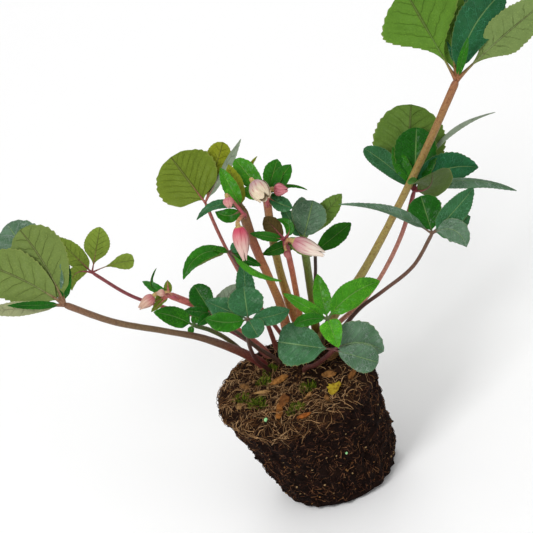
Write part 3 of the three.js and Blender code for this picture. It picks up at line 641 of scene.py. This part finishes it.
def leaf_material(name, tint, tones, net_share, raised, rib, rib_share, vein_tone, vein_share, roughness):
    """A leaf's side: its own tint, a rib, side veins, a fine net between them and soft blotches.

    The blotches are partly the leaf's own uneven colour and partly painted shade of its waves.
    """
    graph = Graph(name, Roughness=roughness, Specular_IOR_Level=0.16)
    where = graph.uv()
    along, across = graph.axis(where, "X"), graph.axis(where, "Y")
    from_rib = graph.math("ABSOLUTE", graph.math("MULTIPLY_ADD", across, 2, -1))
    wobble = graph.times(graph.noise(160, 2), 0.5)
    order = graph.plus(graph.times(along, VEIN_UNITS), wobble)
    off_vein = graph.math("ABSOLUTE", graph.math("SUBTRACT", graph.math("FRACT", order), 0.5))
    side_vein = graph.times(graph.band(off_vein, 0.445, 0.49), graph.band(from_rib, 1.05, 0.3))
    on_rib = graph.band(from_rib, 0.055, 0.015)
    net = graph.band(graph.cells(380, feature="DISTANCE_TO_EDGE"), 0.13, 0.02)
    patchy_net = graph.times(net, graph.band(graph.noise(140, 2), 0.35, 0.7))
    fine = graph.math("MAXIMUM", side_vein, graph.times(patchy_net, net_share))
    # Painted shade: the darker blotch tone paints the shade of the leaf's waves over its uneven colour.
    patches = graph.noise(75, 4)
    grain = graph.noise(900, 2)
    base = graph.attribute(tint)
    deep, clear = (graph.toned(base, tone) for tone in tones)
    blotched = graph.mix(graph.band(patches, 0.3, 0.7), deep, clear)
    grain_share = graph.times(graph.band(grain, 0.5, 0.75), 0.3)
    grained = graph.mix(grain_share, blotched, graph.toned(base, (1.5, 1.42, 1.3)))
    edged = graph.mix(graph.times(graph.band(from_rib, 0.94, 1), 0.25), grained, linear("a8a860"))
    veined = graph.mix(graph.times(fine, vein_share), edged, graph.toned(base, vein_tone))
    ribbed = graph.mix(graph.times(on_rib, rib_share), veined, linear(rib))
    veins = graph.times(graph.math("MAXIMUM", on_rib, fine), raised)
    waves = graph.times(graph.noise(85, 1), 5)
    height = graph.plus(veins, graph.plus(waves, graph.times(grain, 0.25)))
    return graph.finish(ribbed, height, 0.0005)


def stalk_material():
    """Green and red stalk skin with dark blotches and pale pores."""
    graph = Graph("stalk_skin", Roughness=0.5)
    base = graph.attribute("tint")
    pores = graph.cells(900)
    pale = graph.toned(base, (1.55, 1.45, 1.3))
    dark = graph.toned(base, (0.68, 0.54, 0.48))
    blotched = graph.mix(graph.band(graph.noise(520, 5, 0.7), 0.38, 0.54), dark, base)
    pored = graph.mix(graph.times(graph.band(pores, 0.36, 0.14), 0.75), blotched, pale)
    return graph.finish(pored, graph.plus(graph.noise(700, 3), pores), 0.0003)


def petal_material():
    """A petal that fades from its foot to its tip, with fine veins along it."""
    graph = Graph("petal_skin", Roughness=0.42)
    where = graph.uv()
    along = graph.axis(where, "X")
    stretched = graph.node("Mapping", {"Vector": where, "Scale": (1.6, 40, 1)})
    streaks = graph.noise(1, 3, vector=stretched)
    body = graph.mix(graph.band(along, 0.05, 0.7), graph.attribute("tint"), graph.attribute("tint_under"))
    share = graph.times(graph.band(streaks, 0.48, 0.64), graph.band(along, 1.05, 0.5))
    streaked = graph.mix(graph.times(share, 0.85), body, graph.toned(body, (0.74, 0.38, 0.46)))
    footed = graph.mix(graph.band(along, 0.06, 0.01), streaked, linear("b9b060"))
    return graph.finish(footed, streaks, 0.0003)


def earth_material(name, scale, roughness, depth, dark=(0.45, 0.42, 0.4), pale=(1.6, 1.5, 1.4)):
    """Crumbly or fibrous matter in its own tint, with painted shade in its hollows and lighter grains."""
    graph = Graph(name, Roughness=roughness, Specular_IOR_Level=0.1)
    base = graph.attribute("tint")
    coarse = graph.noise(scale, 6, 0.65)
    fine = graph.noise(scale * 5, 3)
    # Painted shade: the dark tone falls where the coarse noise, and so the bump, is low.
    body = graph.mix(graph.band(coarse, 0.38, 0.6), graph.toned(base, dark), base)
    grained = graph.mix(graph.band(fine, 0.55, 0.75), body, graph.toned(base, pale))
    return graph.finish(grained, graph.plus(coarse, graph.times(fine, 0.5)), depth)


def plain_swell(spec, s):
    """Half the width of a blade at s, as a share of its greatest."""
    power = log(0.5) / log(spec.widest)
    return smooth(0, spec.neck, s) ** 2 * max(0, sin(pi * s ** power)) ** spec.blunt


def blade_frames(spec, hub):
    """A function from s to a point on the rib and the directions along, over and across it."""
    along, side = heading(spec.aim), heading(spec.aim + 90)
    turn = radians(spec.turn)
    arch = ARCH_SHARE * spec.reach * cos(turn)
    known = {}

    def rib(s):
        middle = 4 * s * (1 - s)
        forward = spec.near * s + arch * middle
        return hub + along * (spec.reach * s) + side * (spec.reach * spec.bow * middle) + NEAR * forward

    def at(s):
        if s not in known:
            tangent = (rib(s + 0.01) - rib(s - 0.01)).normalized()
            facing = (NEAR - tangent * NEAR.dot(tangent)).normalized()
            facing.rotate(Matrix.Rotation(turn, 3, tangent))
            known[s] = (rib(s), facing, facing.cross(tangent))
        return known[s]

    return at


def add_blade(shape, spec, at, seed, top, under):
    """A toothed blade with swollen fields between its side veins and a crease over its rib."""
    fold = radians(spec.fold)
    tooth_pitch = clamp(spec.wide / TEETH, *TOOTH_PITCHES)
    tooth_depth = 0.2 * tooth_pitch + 0.016 * spec.wide
    vein_pitch = clamp(spec.reach / VEINS, *VEIN_PITCHES)
    rows = int(clamp(spec.reach / ROW_LENGTH, *ROWS))
    columns = 2 * int(clamp(spec.wide / STRIP_WIDTH / 2, *STRIPS))
    quirk = Vector((seed * 3.1, seed * 1.7, seed * 0.9))

    def half_width(s, t):
        swell = plain_swell(spec, s)
        phase = s * spec.reach / tooth_pitch + 0.3 * noise.noise(quirk + Vector((s * 7, 0, 0)))
        tooth = tooth_depth * (phase % 1 - 0.5) * smooth(0.25, 0.5, s) * smooth(0, 0.25, swell)
        uneven = 1 + 0.05 * noise.noise(quirk + Vector((s * 5, copysign(2, t), 0)))
        return max(0.55 - 0.35 * s, spec.wide / 2 * swell * uneven) + tooth * abs(t) ** 8

    def vein_order(s, t):
        """Which side vein runs past here: whole at a vein, and a half in the middle of a field."""
        out = abs(t) * spec.wide / 2 * plain_swell(spec, s)
        return (s * spec.reach - out * (0.95 - 0.25 * abs(t))) / vein_pitch

    def surface(s, t):
        middle, facing, across = at(s)
        swell = plain_swell(spec, s)
        half = half_width(s, t) * abs(t)
        ripple = RIPPLE_SHARE * spec.wide * t * t * sin(9 * s + 2 * t) * swell
        field = cos(tau * vein_order(s, t)) * abs(t) * (1 - abs(t)) * 4
        pucker = -PUCKER_SHARE * spec.wide * swell * field
        crease = -CREASE_SHARE * spec.wide * swell * exp(-((t / CREASE_SPREAD) ** 2))
        lift = half * sin(fold) + ripple + pucker + crease
        sideways = copysign(half * cos(fold), t) if t else 0
        return middle + across * sideways + facing * lift, facing

    def uv(s, t):
        return ((vein_order(s, t) + 4) / VEIN_UNITS, (t + 1) / 2)

    shape.sheet(rows, columns, surface, BLADE_THICKNESS, uv, top, under)


def add_rib(shape, spec, at, thick, foot_tint, tint):
    """The rib under a blade, which swells towards the hub and takes the stalk's tint there."""
    thin = clamp(0.25 + 0.008 * spec.wide, 0.28, 0.6)
    swelling = max(0, 0.75 * thick - thin)
    foot_run = max(5, spec.reach / 7)
    steps = int(clamp(spec.reach / RIB_STEP, *RIB_STEPS))

    def radius(s, _=0):
        return thin * (1 - 0.7 * s) + swelling * exp(-s * spec.reach / foot_run)

    path = []
    for k in range(steps + 1):
        s = RIB_END * k / steps
        middle, facing, _ = at(s)
        crease = CREASE_SHARE * spec.wide * plain_swell(spec, s)
        path.append(middle - facing * (crease + 0.1 + 0.3 * radius(s)))

    def faded(s):
        return mixed(foot_tint, tint, smooth(0, 30, s * spec.reach))

    shape.tube(path, radius, RIB_SIDES, faded, slot=2)


def centripetal(points, step):
    """Points about step apart on the centripetal curve through these points."""
    ends = [points[0] * 2 - points[1], *points, points[-1] * 2 - points[-2]]
    path = []
    for p0, p1, p2, p3 in zip(ends, ends[1:], ends[2:], ends[3:]):
        t1 = (p1 - p0).length ** 0.5
        t2 = t1 + (p2 - p1).length ** 0.5
        t3 = t2 + (p3 - p2).length ** 0.5
        count = max(1, round((p2 - p1).length / step))
        for k in range(count):
            t = blend(t1, t2, k / count)
            a1 = p0.lerp(p1, t / t1)
            a2 = p1.lerp(p2, (t - t1) / (t2 - t1))
            a3 = p2.lerp(p3, (t - t2) / (t3 - t2))
            b1 = a1.lerp(a2, t / t2)
            b2 = a2.lerp(a3, (t - t1) / (t3 - t1))
            path.append(b1.lerp(b2, (t - t1) / (t2 - t1)))
    path.append(points[-1])
    return path


def stalk_path(spec):
    """Straight up out of the soil, then bowed or swayed on the way to the hub."""
    root = SOIL_CENTRE + Vector((*spec.root, 0))
    start = ((root - SOIL_CENTRE).dot(ACROSS), (root - SOIL_CENTRE).dot(UP))
    way = (spec.hub[0] - start[0], spec.hub[1] - start[1])
    points = [root + Vector((0, 0, height)) for height in ROOT_HEIGHTS]
    for s in WAY_POINTS:
        middle = 4 * s * (1 - s)
        aside = spec.bow * middle + spec.sway * sin(tau * s)
        depth = blend(root.y, spec.hub[2], s) + spec.back * middle
        across = start[0] + way[0] * s - way[1] * aside
        up = start[1] + way[1] * s + way[0] * aside
        points.append(place(across, up, depth))
    return centripetal(points, PATH_STEP)


def add_stalk(shape, spec, seed):
    """A stalk whose skin is a little uneven and ridged, and which narrows just before its hub."""
    low, middle, high = spec.radii
    path = stalk_path(spec)
    length = PATH_STEP * len(path)

    def radius(s, angle):
        plain = blend(low, middle, 2 * s) if s < 0.5 else blend(middle, high, 2 * s - 1)
        bumps = noise.noise(Vector((s * length / BUMP_RUN, cos(angle) + seed, sin(angle))))
        ridges = RIDGE_SHARE * cos(RIDGES * angle)
        end = 1 - smooth(1 - END_RUN / length, 1, s) * END_TAPER
        return plain * (1 + BUMP_SHARE * bumps + ridges) * end

    shape.tube(path, radius, STALK_SIDES, gradient(spec.tints))
    return path


def bud_frame(spec, one):
    base = place(*spec.hub) + ACROSS * one.start[0] + UP * one.start[1] + NEAR * one.start[2]
    axis = (heading(one.aim) * one.reach + NEAR * one.near).normalized()
    return base, axis


def add_bud_stalk(shape, spec, one, path):
    """A bud's own stalk: from a little below the stem's top, past its front, to the bud's base."""
    base, axis = bud_frame(spec, one)
    upwards = (path[-1] - path[-3]).normalized()
    forwards = (NEAR - upwards * NEAR.dot(upwards)).normalized()
    out = max(KNOB_LEAST, spec.radii[2] * KNOB_SHARE) + BUD_STALK_CLEARANCE
    points = [path[-1] - upwards * BUD_STALK_DOWN, place(*spec.hub) + forwards * out]
    points += [base - axis * 3, base + axis * 0.5]
    thick = min(1.6, one.wide * 0.14)
    colours = gradient([spec.tints[-1], *palette(BUD_STALK_TINTS)])
    bent = centripetal(points, BUD_STALK_STEP)
    shape.tube(bent, lambda s, a: thick * (1 + 0.35 * smooth(0.85, 1, s)), BUD_STALK_SIDES, colours)


def bud_profile(s, open_share):
    """A bud's half width at s, as a share: drawn in at the tip when shut, and flared when open."""
    shut = 0.3 + 0.7 * sin(pi * min(1, s * 1.06) ** 0.75) - 0.18 * s
    flared = 0.3 + 0.7 * sin(pi / 2 * min(1, s * 1.6))
    return blend(max(0.12, shut), flared, open_share)


def add_petals(shape, spec, one, seed):
    """Five petals wound round the bud, each over the edge of the next, and a heart in an open one."""
    base, axis = bud_frame(spec, one)
    sideways = NEAR.cross(axis).normalized()
    forward = axis.cross(sideways)
    foot, tip = palette(one.tints)

    def at(s, angle, distance):
        spoke = sideways * cos(angle) + forward * sin(angle)
        return base + axis * (one.reach * s) + spoke * distance, spoke

    for petal in range(PETALS):
        middle = 4 * pi * petal / PETALS + 0.6
        outer = 0.35 if petal < 3 else 0
        reach = 1 - 0.07 * noise.noise(Vector((petal * 2.3, seed, 0)))

        def surface(s, t):
            spread = 0.95 * sin(pi * (0.16 + 0.78 * s)) ** 0.5
            share = min(1, 0.01 + s * reach)
            edge = 0.09 * one.wide * (t * 0.5 + 0.5) * min(1, 4 * s)
            curl = one.open * one.wide * 0.12 * smooth(0.7, 1, s) * (1 - t * t)
            wave = 0.02 * one.wide * sin(5 * t + seed) * smooth(0.5, 1, s)
            body = one.wide / 2 * 0.86 * bud_profile(share, one.open)
            distance = body + edge * 0.7 + outer - curl + wave
            pointed = share - 0.06 * t * t * smooth(0.6, 1, s)
            return at(pointed, middle + t * spread, max(0.25, distance))

        def uv(s, t):
            return (s, (t + 1 + 2 * petal) / (2 * PETALS))

        rows, columns = (22, 14) if one.reach > 14 else (14, 10)
        shape.sheet(rows, columns, surface, PETAL_THICKNESS, uv, foot, tip, (0, 0))
    if one.open > 0.3:
        add_stamens(shape, one, at)


def add_stamens(shape, one, at):
    """Pale threads with thick tips in the heart of an open bud."""
    tint = gradient(palette(STAMEN_TINTS))
    for k in range(STAMENS):
        angle = GOLDEN_TURN * k
        distance = one.wide * 0.3 * sqrt(k / STAMENS)
        low, _ = at(0.3, angle, distance * 0.5)
        high, _ = at(0.62 + 0.08 * sin(k), angle, distance)
        path = [low, low.lerp(high, 0.6), high]
        shape.tube(path, lambda s, a: 0.2 + 0.35 * smooth(0.7, 1, s), 5, tint, slot=1)


def root_relief(angle, height):
    """Upright cords and slanting fibres of root on the ball's side, as on the solid."""
    cords = max(0, sin(11 * angle + 0.05 * height)) ** 3
    fibres = sin(23 * angle - 0.11 * height + 2) * sin(0.13 * height + 3 * angle)
    return 1.6 * cords + 1.1 * fibres + 0.8 * sin(5 * angle + 0.07 * height) - 1.5


def soil_relief(x, y):
    """Broad and small heaps on the soil, as on the solid."""
    return 1.2 * sin(0.19 * x + 1) * cos(0.16 * y) + 0.7 * sin(0.43 * x + 0.37 * y)


def shoulder(angle, height):
    """How far the ball bulges at the back of its left side, under the rim."""
    away = remainder(angle - SHOULDER_AT, tau) / SHOULDER_SPREAD
    return SHOULDER_OUT * exp(-away * away) * smooth(BALL_HEIGHT * 0.5, BALL_HEIGHT * 0.85, height)


def ball_surface(angle, down, out=0):
    """A point of the ball. down is 0 at the rim, below 0 on the top and above 0 down the side."""
    if down <= 0:
        radius = RIM_RADIUS + down
        height = BALL_HEIGHT
        direction = Vector((0, 0, 1))
    elif down < TOP_EDGE:
        share = down / TOP_EDGE
        radius = blend(RIM_RADIUS, BALL_TOP_RADIUS, share)
        height = blend(BALL_HEIGHT, SIDE_TOP, share)
        direction = Vector((cos(angle) * share, sin(angle) * share, 1.2 - share)).normalized()
    else:
        height = max(0.5, SIDE_TOP - (down - TOP_EDGE))
        share = clamp((height - FOOT_EDGE) / (SIDE_TOP - FOOT_EDGE), 0, 1)
        radius = blend(BALL_BOTTOM_RADIUS, BALL_TOP_RADIUS, share)
        radius = radius if height > FOOT_EDGE else blend(BALL_FOOT_RADIUS, radius, height / FOOT_EDGE)
        direction = Vector((cos(angle), sin(angle), -0.1)).normalized()
        radius += root_relief(angle, height) * smooth(0, TOP_EDGE, down - TOP_EDGE)
    radius += shoulder(angle, height) * clamp(radius / RIM_RADIUS, 0, 1)
    x, y = radius * cos(angle), radius * sin(angle)
    flat = Vector((x - BALL_SKEW * height / BALL_HEIGHT, y, height))
    flat.z += soil_relief(x, y) * smooth(TOP_EDGE, 0, down)
    crumbs = noise.fractal(flat / 9, 0.7, 2.2, 4) * 1.5 + abs(noise.noise(flat / 3.1)) * 0.7 - 0.5
    edge = smooth(0, 6, height)
    return flat + direction * (crumbs * edge + out), direction


def soil_tint(down, chance):
    fresh, dry = palette("180b07 3c2618")
    share = clamp(0.55 * smooth(18, -8, down) + 0.5 * chance, 0, 1)
    return mixed(fresh, dry, share)


def make_soil(material):
    """The ball's earth: a fine crumbly skin from the middle of the foot round to the soil's middle."""
    shape = Shape()
    downs = [-RIM_RADIUS + RIM_RADIUS * (k / TOP_RINGS) for k in range(1, TOP_RINGS + 1)]
    downs += [SIDE_RUN * k / SIDE_RINGS for k in range(1, SIDE_RINGS + 1)]
    angles = [tau * column / SOIL_COLUMNS for column in range(SOIL_COLUMNS)]
    rings = []
    for down in downs:
        ring = []
        for column, angle in enumerate(angles):
            where, _ = ball_surface(angle, down)
            tint = soil_tint(down, noise.fractal(where / 14, 0.8, 2, 3))
            ring.append(shape.point(where, (column / SOIL_COLUMNS, down / 160 + 0.5), tint))
        rings.append(ring)
    for share in FOOT_RINGS:
        radius = BALL_FOOT_RADIUS * share
        ring = []
        for column, angle in enumerate(angles):
            where = Vector((radius * cos(angle), radius * sin(angle), 0))
            ring.append(shape.point(where, (column / SOIL_COLUMNS, 1), soil_tint(100, 0)))
        rings.append(ring)
    shape.join(rings)
    for ring, centre in ((rings[0], SOIL_CENTRE), (rings[-1], Vector())):
        middle = shape.point(centre, (0.5, 0.5), soil_tint(0, 0))
        for column in range(SOIL_COLUMNS):
            shape.face([ring[column], ring[(column + 1) % SOIL_COLUMNS], middle])
    return shape.build("soil", "soil", [material], ["root_ball"])


def walk(rng, angle, down, course, steps, stride, wander, lift):
    """A strand lying on the ball: its path over the surface, lifted a little in its middle."""
    path = []
    for k in range(steps + 1):
        rise = 0.25 + lift * sin(pi * k / steps)
        where, _ = ball_surface(angle, down, rise)
        path.append(where)
        radius = max(6, RIM_RADIUS + min(down, 0))
        angle += stride * cos(course) / radius
        down = clamp(down + stride * sin(course), -RIM_RADIUS + 3, SIDE_RUN - 2)
        course += rng.uniform(-wander, wander)
    return path


def make_strands(name, seed, count, colours, material, start, steps, stride, wander, lift, thick):
    """Many fine roots or straws, each a thin tube with its own tint."""
    rng = random.Random(seed)
    shape = Shape()
    tints = palette(colours)
    for _ in range(count):
        angle, down = start(rng)
        course = rng.uniform(0, tau)
        path = walk(rng, angle, down, course, rng.randint(*steps), stride, wander, rng.uniform(*lift))
        width = rng.uniform(*thick)
        colour = rng.choice(tints)
        shade = rng.uniform(0.6, 1.25)
        tint = tuple(c * shade for c in colour[:3]) + (1.0,)
        shape.tube(path, lambda s, a: width * (1 - 0.6 * s), 3, lambda s: tint)
    return shape.build(name, "soil", [material])


def make_roots(material):
    return make_strands(
        "fine_roots", "roots", 3800, "4a2c20 5c3c2a 33201a 7a563a 241610", material,
        start=lambda r: (r.uniform(0, tau), r.uniform(2, SIDE_RUN - 4)),
        steps=(1, 4), stride=1.8, wander=0.35, lift=(0, 0.6), thick=(0.18, 0.42),
    )


def straw_start(rng):
    """A place on the soil or just over its rim, more often on the side where the straw lies thick."""
    angle = STRAW_SIDE + rng.gauss(0, 1.5)
    hang = 3 + 9 * max(0, cos(angle - STRAW_SIDE))
    return angle, -RIM_RADIUS + (RIM_RADIUS + hang) * sqrt(rng.random())


def make_straw(material):
    return make_strands(
        "straw", "straw", 1700, "a8825a 6c4a2c 3a271a c09c72 4c3420 b08a60", material,
        start=straw_start, steps=(3, 7), stride=1.9, wander=0.17, lift=(0.1, 2.2), thick=(0.12, 0.44),
    )


# Moss on the soil: x, y and width.
MOSS_TUFTS = (
    (-48, 1, 14), (-37, -14, 16), (-27, 12, 13), (7, -16, 15), (-9, -40, 17), (48, 4, 12), (-18, 24, 12),
)
MOSS_THREADS = 110
MOSS_TINTS = palette("4f6412 6a7c1c 3a4a10 7d8a2c")


def make_moss(material):
    """Small green tufts: short leafy threads that stand up and lean outwards."""
    rng = random.Random("moss")
    shape = Shape()
    for x, y, wide in MOSS_TUFTS:
        for _ in range(MOSS_THREADS):
            angle, away = rng.uniform(0, tau), wide / 2 * sqrt(rng.random())
            px, py = x + away * cos(angle), y + away * sin(angle)
            foot = SOIL_CENTRE + Vector((px, py, soil_relief(px, py)))
            lean = Vector((cos(angle), sin(angle), 0)) * rng.uniform(0.5, 2.4)
            tall = rng.uniform(2.2, 5.2) * (1 - 0.5 * (away * 2 / wide) ** 2)
            middle = foot + lean * 0.4 + Vector((0, 0, tall * 0.6))
            path = [foot, middle, foot + lean + Vector((0, 0, tall))]
            tint = rng.choice(MOSS_TINTS)
            shape.tube(path, lambda s, a: 0.42 * (1 - 0.75 * s), 3, lambda s: tint)
    return shape.build("moss", "soil", [material])


# Bark on the soil: x, y, length, width, height and turn in degrees, and its colour.
BARK = (
    (-13, 8, 17, 7, 3, 20, "a8743c"),
    (-22, -34, 22, 6, 3, 75, "96602c"),
    (26, -10, 13, 7, 3, 150, "a0713f"),
    (-5, -52, 12, 5, 3, 10, "a8622c"),
    (44, -20, 11, 6, 3, 60, "8a5c30"),
    (-42, 14, 11, 5, 3, 120, "7d5a34"),
    (4, -26, 12, 4, 2, 40, "b98a55"),
    (-30, -2, 14, 4, 2, 160, "b08a58"),
    (-16, -24, 16, 8, 3, 65, "7d4f28"),
    (18, -38, 9, 4, 2, 100, "8a6238"),
    (-52, -8, 9, 5, 2, 80, "9a774a"),
    (35, 12, 12, 6, 3, 30, "84603a"),
)
BARK_LIFT = 1.2
CRUMBS = 3400
PALE_CRUMB_SHARE = 0.13
PALE_CRUMBS = palette("8a6238 a88a60 6c4628")
DARK_CRUMBS = palette("20120c 3a231a 120a07")


def make_bark(material):
    """Chips of bark on the soil, and small crumbs of bark and earth all over the ball."""
    rng = random.Random("bark")
    shape = Shape()
    for k, (x, y, long, wide, high, turn, colour) in enumerate(BARK):
        where = SOIL_CENTRE + Vector((x, y, soil_relief(x, y) + BARK_LIFT))
        shape.lump(where, (long, wide, high), linear(colour), k, turn=radians(turn), detail=3)
    for k in range(CRUMBS):
        angle = rng.uniform(0, tau)
        down = rng.uniform(-RIM_RADIUS + 2, SIDE_RUN - 4)
        where, _ = ball_surface(angle, down, 0.3)
        pale = rng.random() < PALE_CRUMB_SHARE
        long = rng.uniform(0.8 if pale else 0.9, 2.6)
        tint = rng.choice(PALE_CRUMBS if pale else DARK_CRUMBS)
        wide = long * rng.uniform(0.5, 1)
        shape.lump(where, (long, wide, long * 0.7), tint, k, turn=rng.uniform(0, 3))
    return shape.build("bark_and_crumbs", "soil", [material])


def make_pellets(material):
    """Two pale grains of slow feed, one on the soil and one in the ball's side."""
    shape = Shape()
    for degrees, down, wide in ((229, -7, 3.2), (284, 46, 2)):
        where, _ = ball_surface(radians(degrees), down, wide / 2)
        shape.lump(where, (wide, wide, wide), linear("9fdc9a"), 1, detail=2)
    return shape.build("feed_pellets", "soil", [material])


def make_fallen_leaf(material):
    """A withered leaf, curled up along its sides, lying on the soil."""
    shape = Shape()
    start = SOIL_CENTRE + Vector(WITHERED_AT)
    along = Vector((cos(WITHERED_TURN), sin(WITHERED_TURN), 0))
    across = Vector((-sin(WITHERED_TURN), cos(WITHERED_TURN), 0))

    def surface(s, t):
        half = WITHERED_HALF * max(0.1, sin(pi * s) ** 0.7) * t
        half *= 1 + 0.12 * sin(31 * s + 2 * t)
        curl = 0.085 * half * half + 2 * (s - 0.5) ** 2 + 0.5 * sin(9 * s + 3 * t)
        where = start + along * (WITHERED_REACH * (s - 0.5)) + across * half + Vector((0, 0, curl))
        return where, Vector((0, 0, 1))

    def uv(s, t):
        return (s, (t + 1) / 2)

    top, under = palette("b09a2c 8a7430")
    shape.sheet(26, 16, surface, 0.4, uv, top, under, (0, 0))
    return shape.build("withered_leaf", "withered_leaf", [material], ["fallen_leaf"])


def make_blades(name, spec, slot, node, materials):
    """A leaf's or a flower stem's blades with their ribs, all from its hub."""
    shape = Shape()
    hub = place(*spec.hub)
    for k, one in enumerate(spec.blades):
        top, under = palette(LOOKS[one.look])
        at = blade_frames(one, hub)
        add_blade(shape, one, at, k + len(name), top, under)
        add_rib(shape, one, at, spec.radii[2], spec.tints[-1], tuple(c * 0.8 for c in under))
    return shape.build(name, slot, materials, [node])


def make_plants(skins):
    """Every leaf with its stalk, and every flower stem with its bracts and buds."""
    sides = [skins.leaf_top, skins.leaf_under, skins.stalk]
    for k, (name, spec) in enumerate(LEAVES.items()):
        shape = Shape()
        add_stalk(shape, spec, k)
        shape.build(f"{name}_stalk", "leaf_stalk", [skins.stalk], [f"stalk_{name}"])
        make_blades(f"{name}_blades", spec, "leaf", f"leaf_{name}", sides)
    sides = [skins.bract_top, skins.bract_under, skins.stalk]
    for k, (name, spec) in enumerate(STEMS.items()):
        shape = Shape()
        path = add_stalk(shape, spec, k + 40)
        for one in spec.buds:
            add_bud_stalk(shape, spec, one, path)
        shape.build(f"{name}_flower_stem", "flower_stem", [skins.stalk], [f"stem_{name}"])
        make_blades(f"{name}_bract_blades", spec, "bract", f"bracts_{name}", sides)
        for seed, one in enumerate(spec.buds):
            petals = Shape()
            add_petals(petals, spec, one, seed + k)
            petals.build(f"{one.name}_petals", "petal", [skins.petal, skins.stamen], [one.name])


def make_materials():
    return SimpleNamespace(
        leaf_top=leaf_material(
            "leaf_top", **UPPER, rib="8fae6a",
            vein_tone=(2.8, 1.9, 2.8), vein_share=0.58, roughness=0.3,
        ),
        leaf_under=leaf_material(
            "leaf_under", **LOWER, rib="4a4424", rib_share=0.6,
            vein_tone=(0.5, 0.5, 0.4), vein_share=0.4,
        ),
        bract_top=leaf_material(
            "bract_top", **UPPER, rib="9cba60",
            vein_tone=(2.4, 1.8, 2.2), vein_share=0.5, roughness=0.32,
        ),
        bract_under=leaf_material(
            "bract_under", **LOWER, rib="5a5a2c", rib_share=0.5,
            vein_tone=(0.6, 0.6, 0.5), vein_share=0.35,
        ),
        stalk=stalk_material(),
        petal=petal_material(),
        stamen=earth_material("stamen", 900, 0.6, 0.0002, (0.8, 0.8, 0.7), (1.1, 1.1, 1.1)),
        soil=earth_material("crumbly_soil", 220, 0.95, 0.0016),
        fibre=earth_material("root_fibre", 500, 0.85, 0.0003, (0.6, 0.55, 0.5), (1.4, 1.35, 1.3)),
        moss=earth_material("moss_threads", 500, 0.8, 0.0003, (0.6, 0.65, 0.5), (1.4, 1.4, 1.2)),
        bark=earth_material("bark_chips", 330, 0.85, 0.0008),
        pellet=earth_material("pellet_coat", 700, 0.5, 0.0002, (0.85, 0.9, 0.85), (1.1, 1.1, 1.1)),
        withered=earth_material("withered_skin", 260, 0.75, 0.0004, (0.5, 0.4, 0.3), (1.3, 1.3, 1.1)),
    )


def make_stage():
    """A pale floor, a pale sky and soft lights."""
    mesh = bpy.data.meshes.new("floor")
    corners = [(x * FLOOR_REACH, y * FLOOR_REACH, 0) for x, y in ((-1, -1), (1, -1), (1, 1), (-1, 1))]
    mesh.from_pydata(corners, [], [(0, 1, 2, 3)])
    mesh.materials.append(Graph("floor_paper", Roughness=0.9, Base_Color=(0.98, 0.98, 0.98, 1)).material)
    floor = add_object("floor", mesh)
    floor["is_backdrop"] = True
    world = bpy.data.worlds.new("studio")
    world.use_nodes = True
    sky = world.node_tree.nodes["Background"].inputs
    sky["Color"].default_value = (1, 1, 1, 1)
    sky["Strength"].default_value = SKY_STRENGTH
    bpy.context.scene.world = world
    for name, where, size, power in LIGHTS:
        light = bpy.data.lights.new(name, "AREA")
        light.size = size
        light.energy = power
        lamp = add_object(name, light)
        lamp.location = where
        lamp.rotation_euler = (LIT_CENTRE - Vector(where)).to_track_quat("-Z", "Y").to_euler()


def make_camera():
    """From the front and above, rolled so that the plant leans to the left."""
    data = bpy.data.cameras.new("camera")
    data.sensor_width = SENSOR
    data.lens = SENSOR * VIEW_DISTANCE / VIEW_WIDTH
    camera = add_object("camera", data)
    target = SOIL_CENTRE + ACROSS * VIEW_CENTRE[0] + UP * VIEW_CENTRE[1]
    axes = Matrix((ACROSS, UP, NEAR)).transposed()
    camera.matrix_world = Matrix.Translation((target + NEAR * VIEW_DISTANCE) * MM) @ axes.to_4x4()
    bpy.context.scene.camera = camera


make_camera()
make_stage()
skins = make_materials()
make_soil(skins.soil)
make_roots(skins.fibre)
make_straw(skins.fibre)
make_moss(skins.moss)
make_bark(skins.bark)
make_pellets(skins.pellet)
make_fallen_leaf(skins.withered)
make_plants(skins)
bpy.context.scene.view_settings.view_transform = "Standard"

boxes = {"cad": CAD_BOX, "visual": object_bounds()}
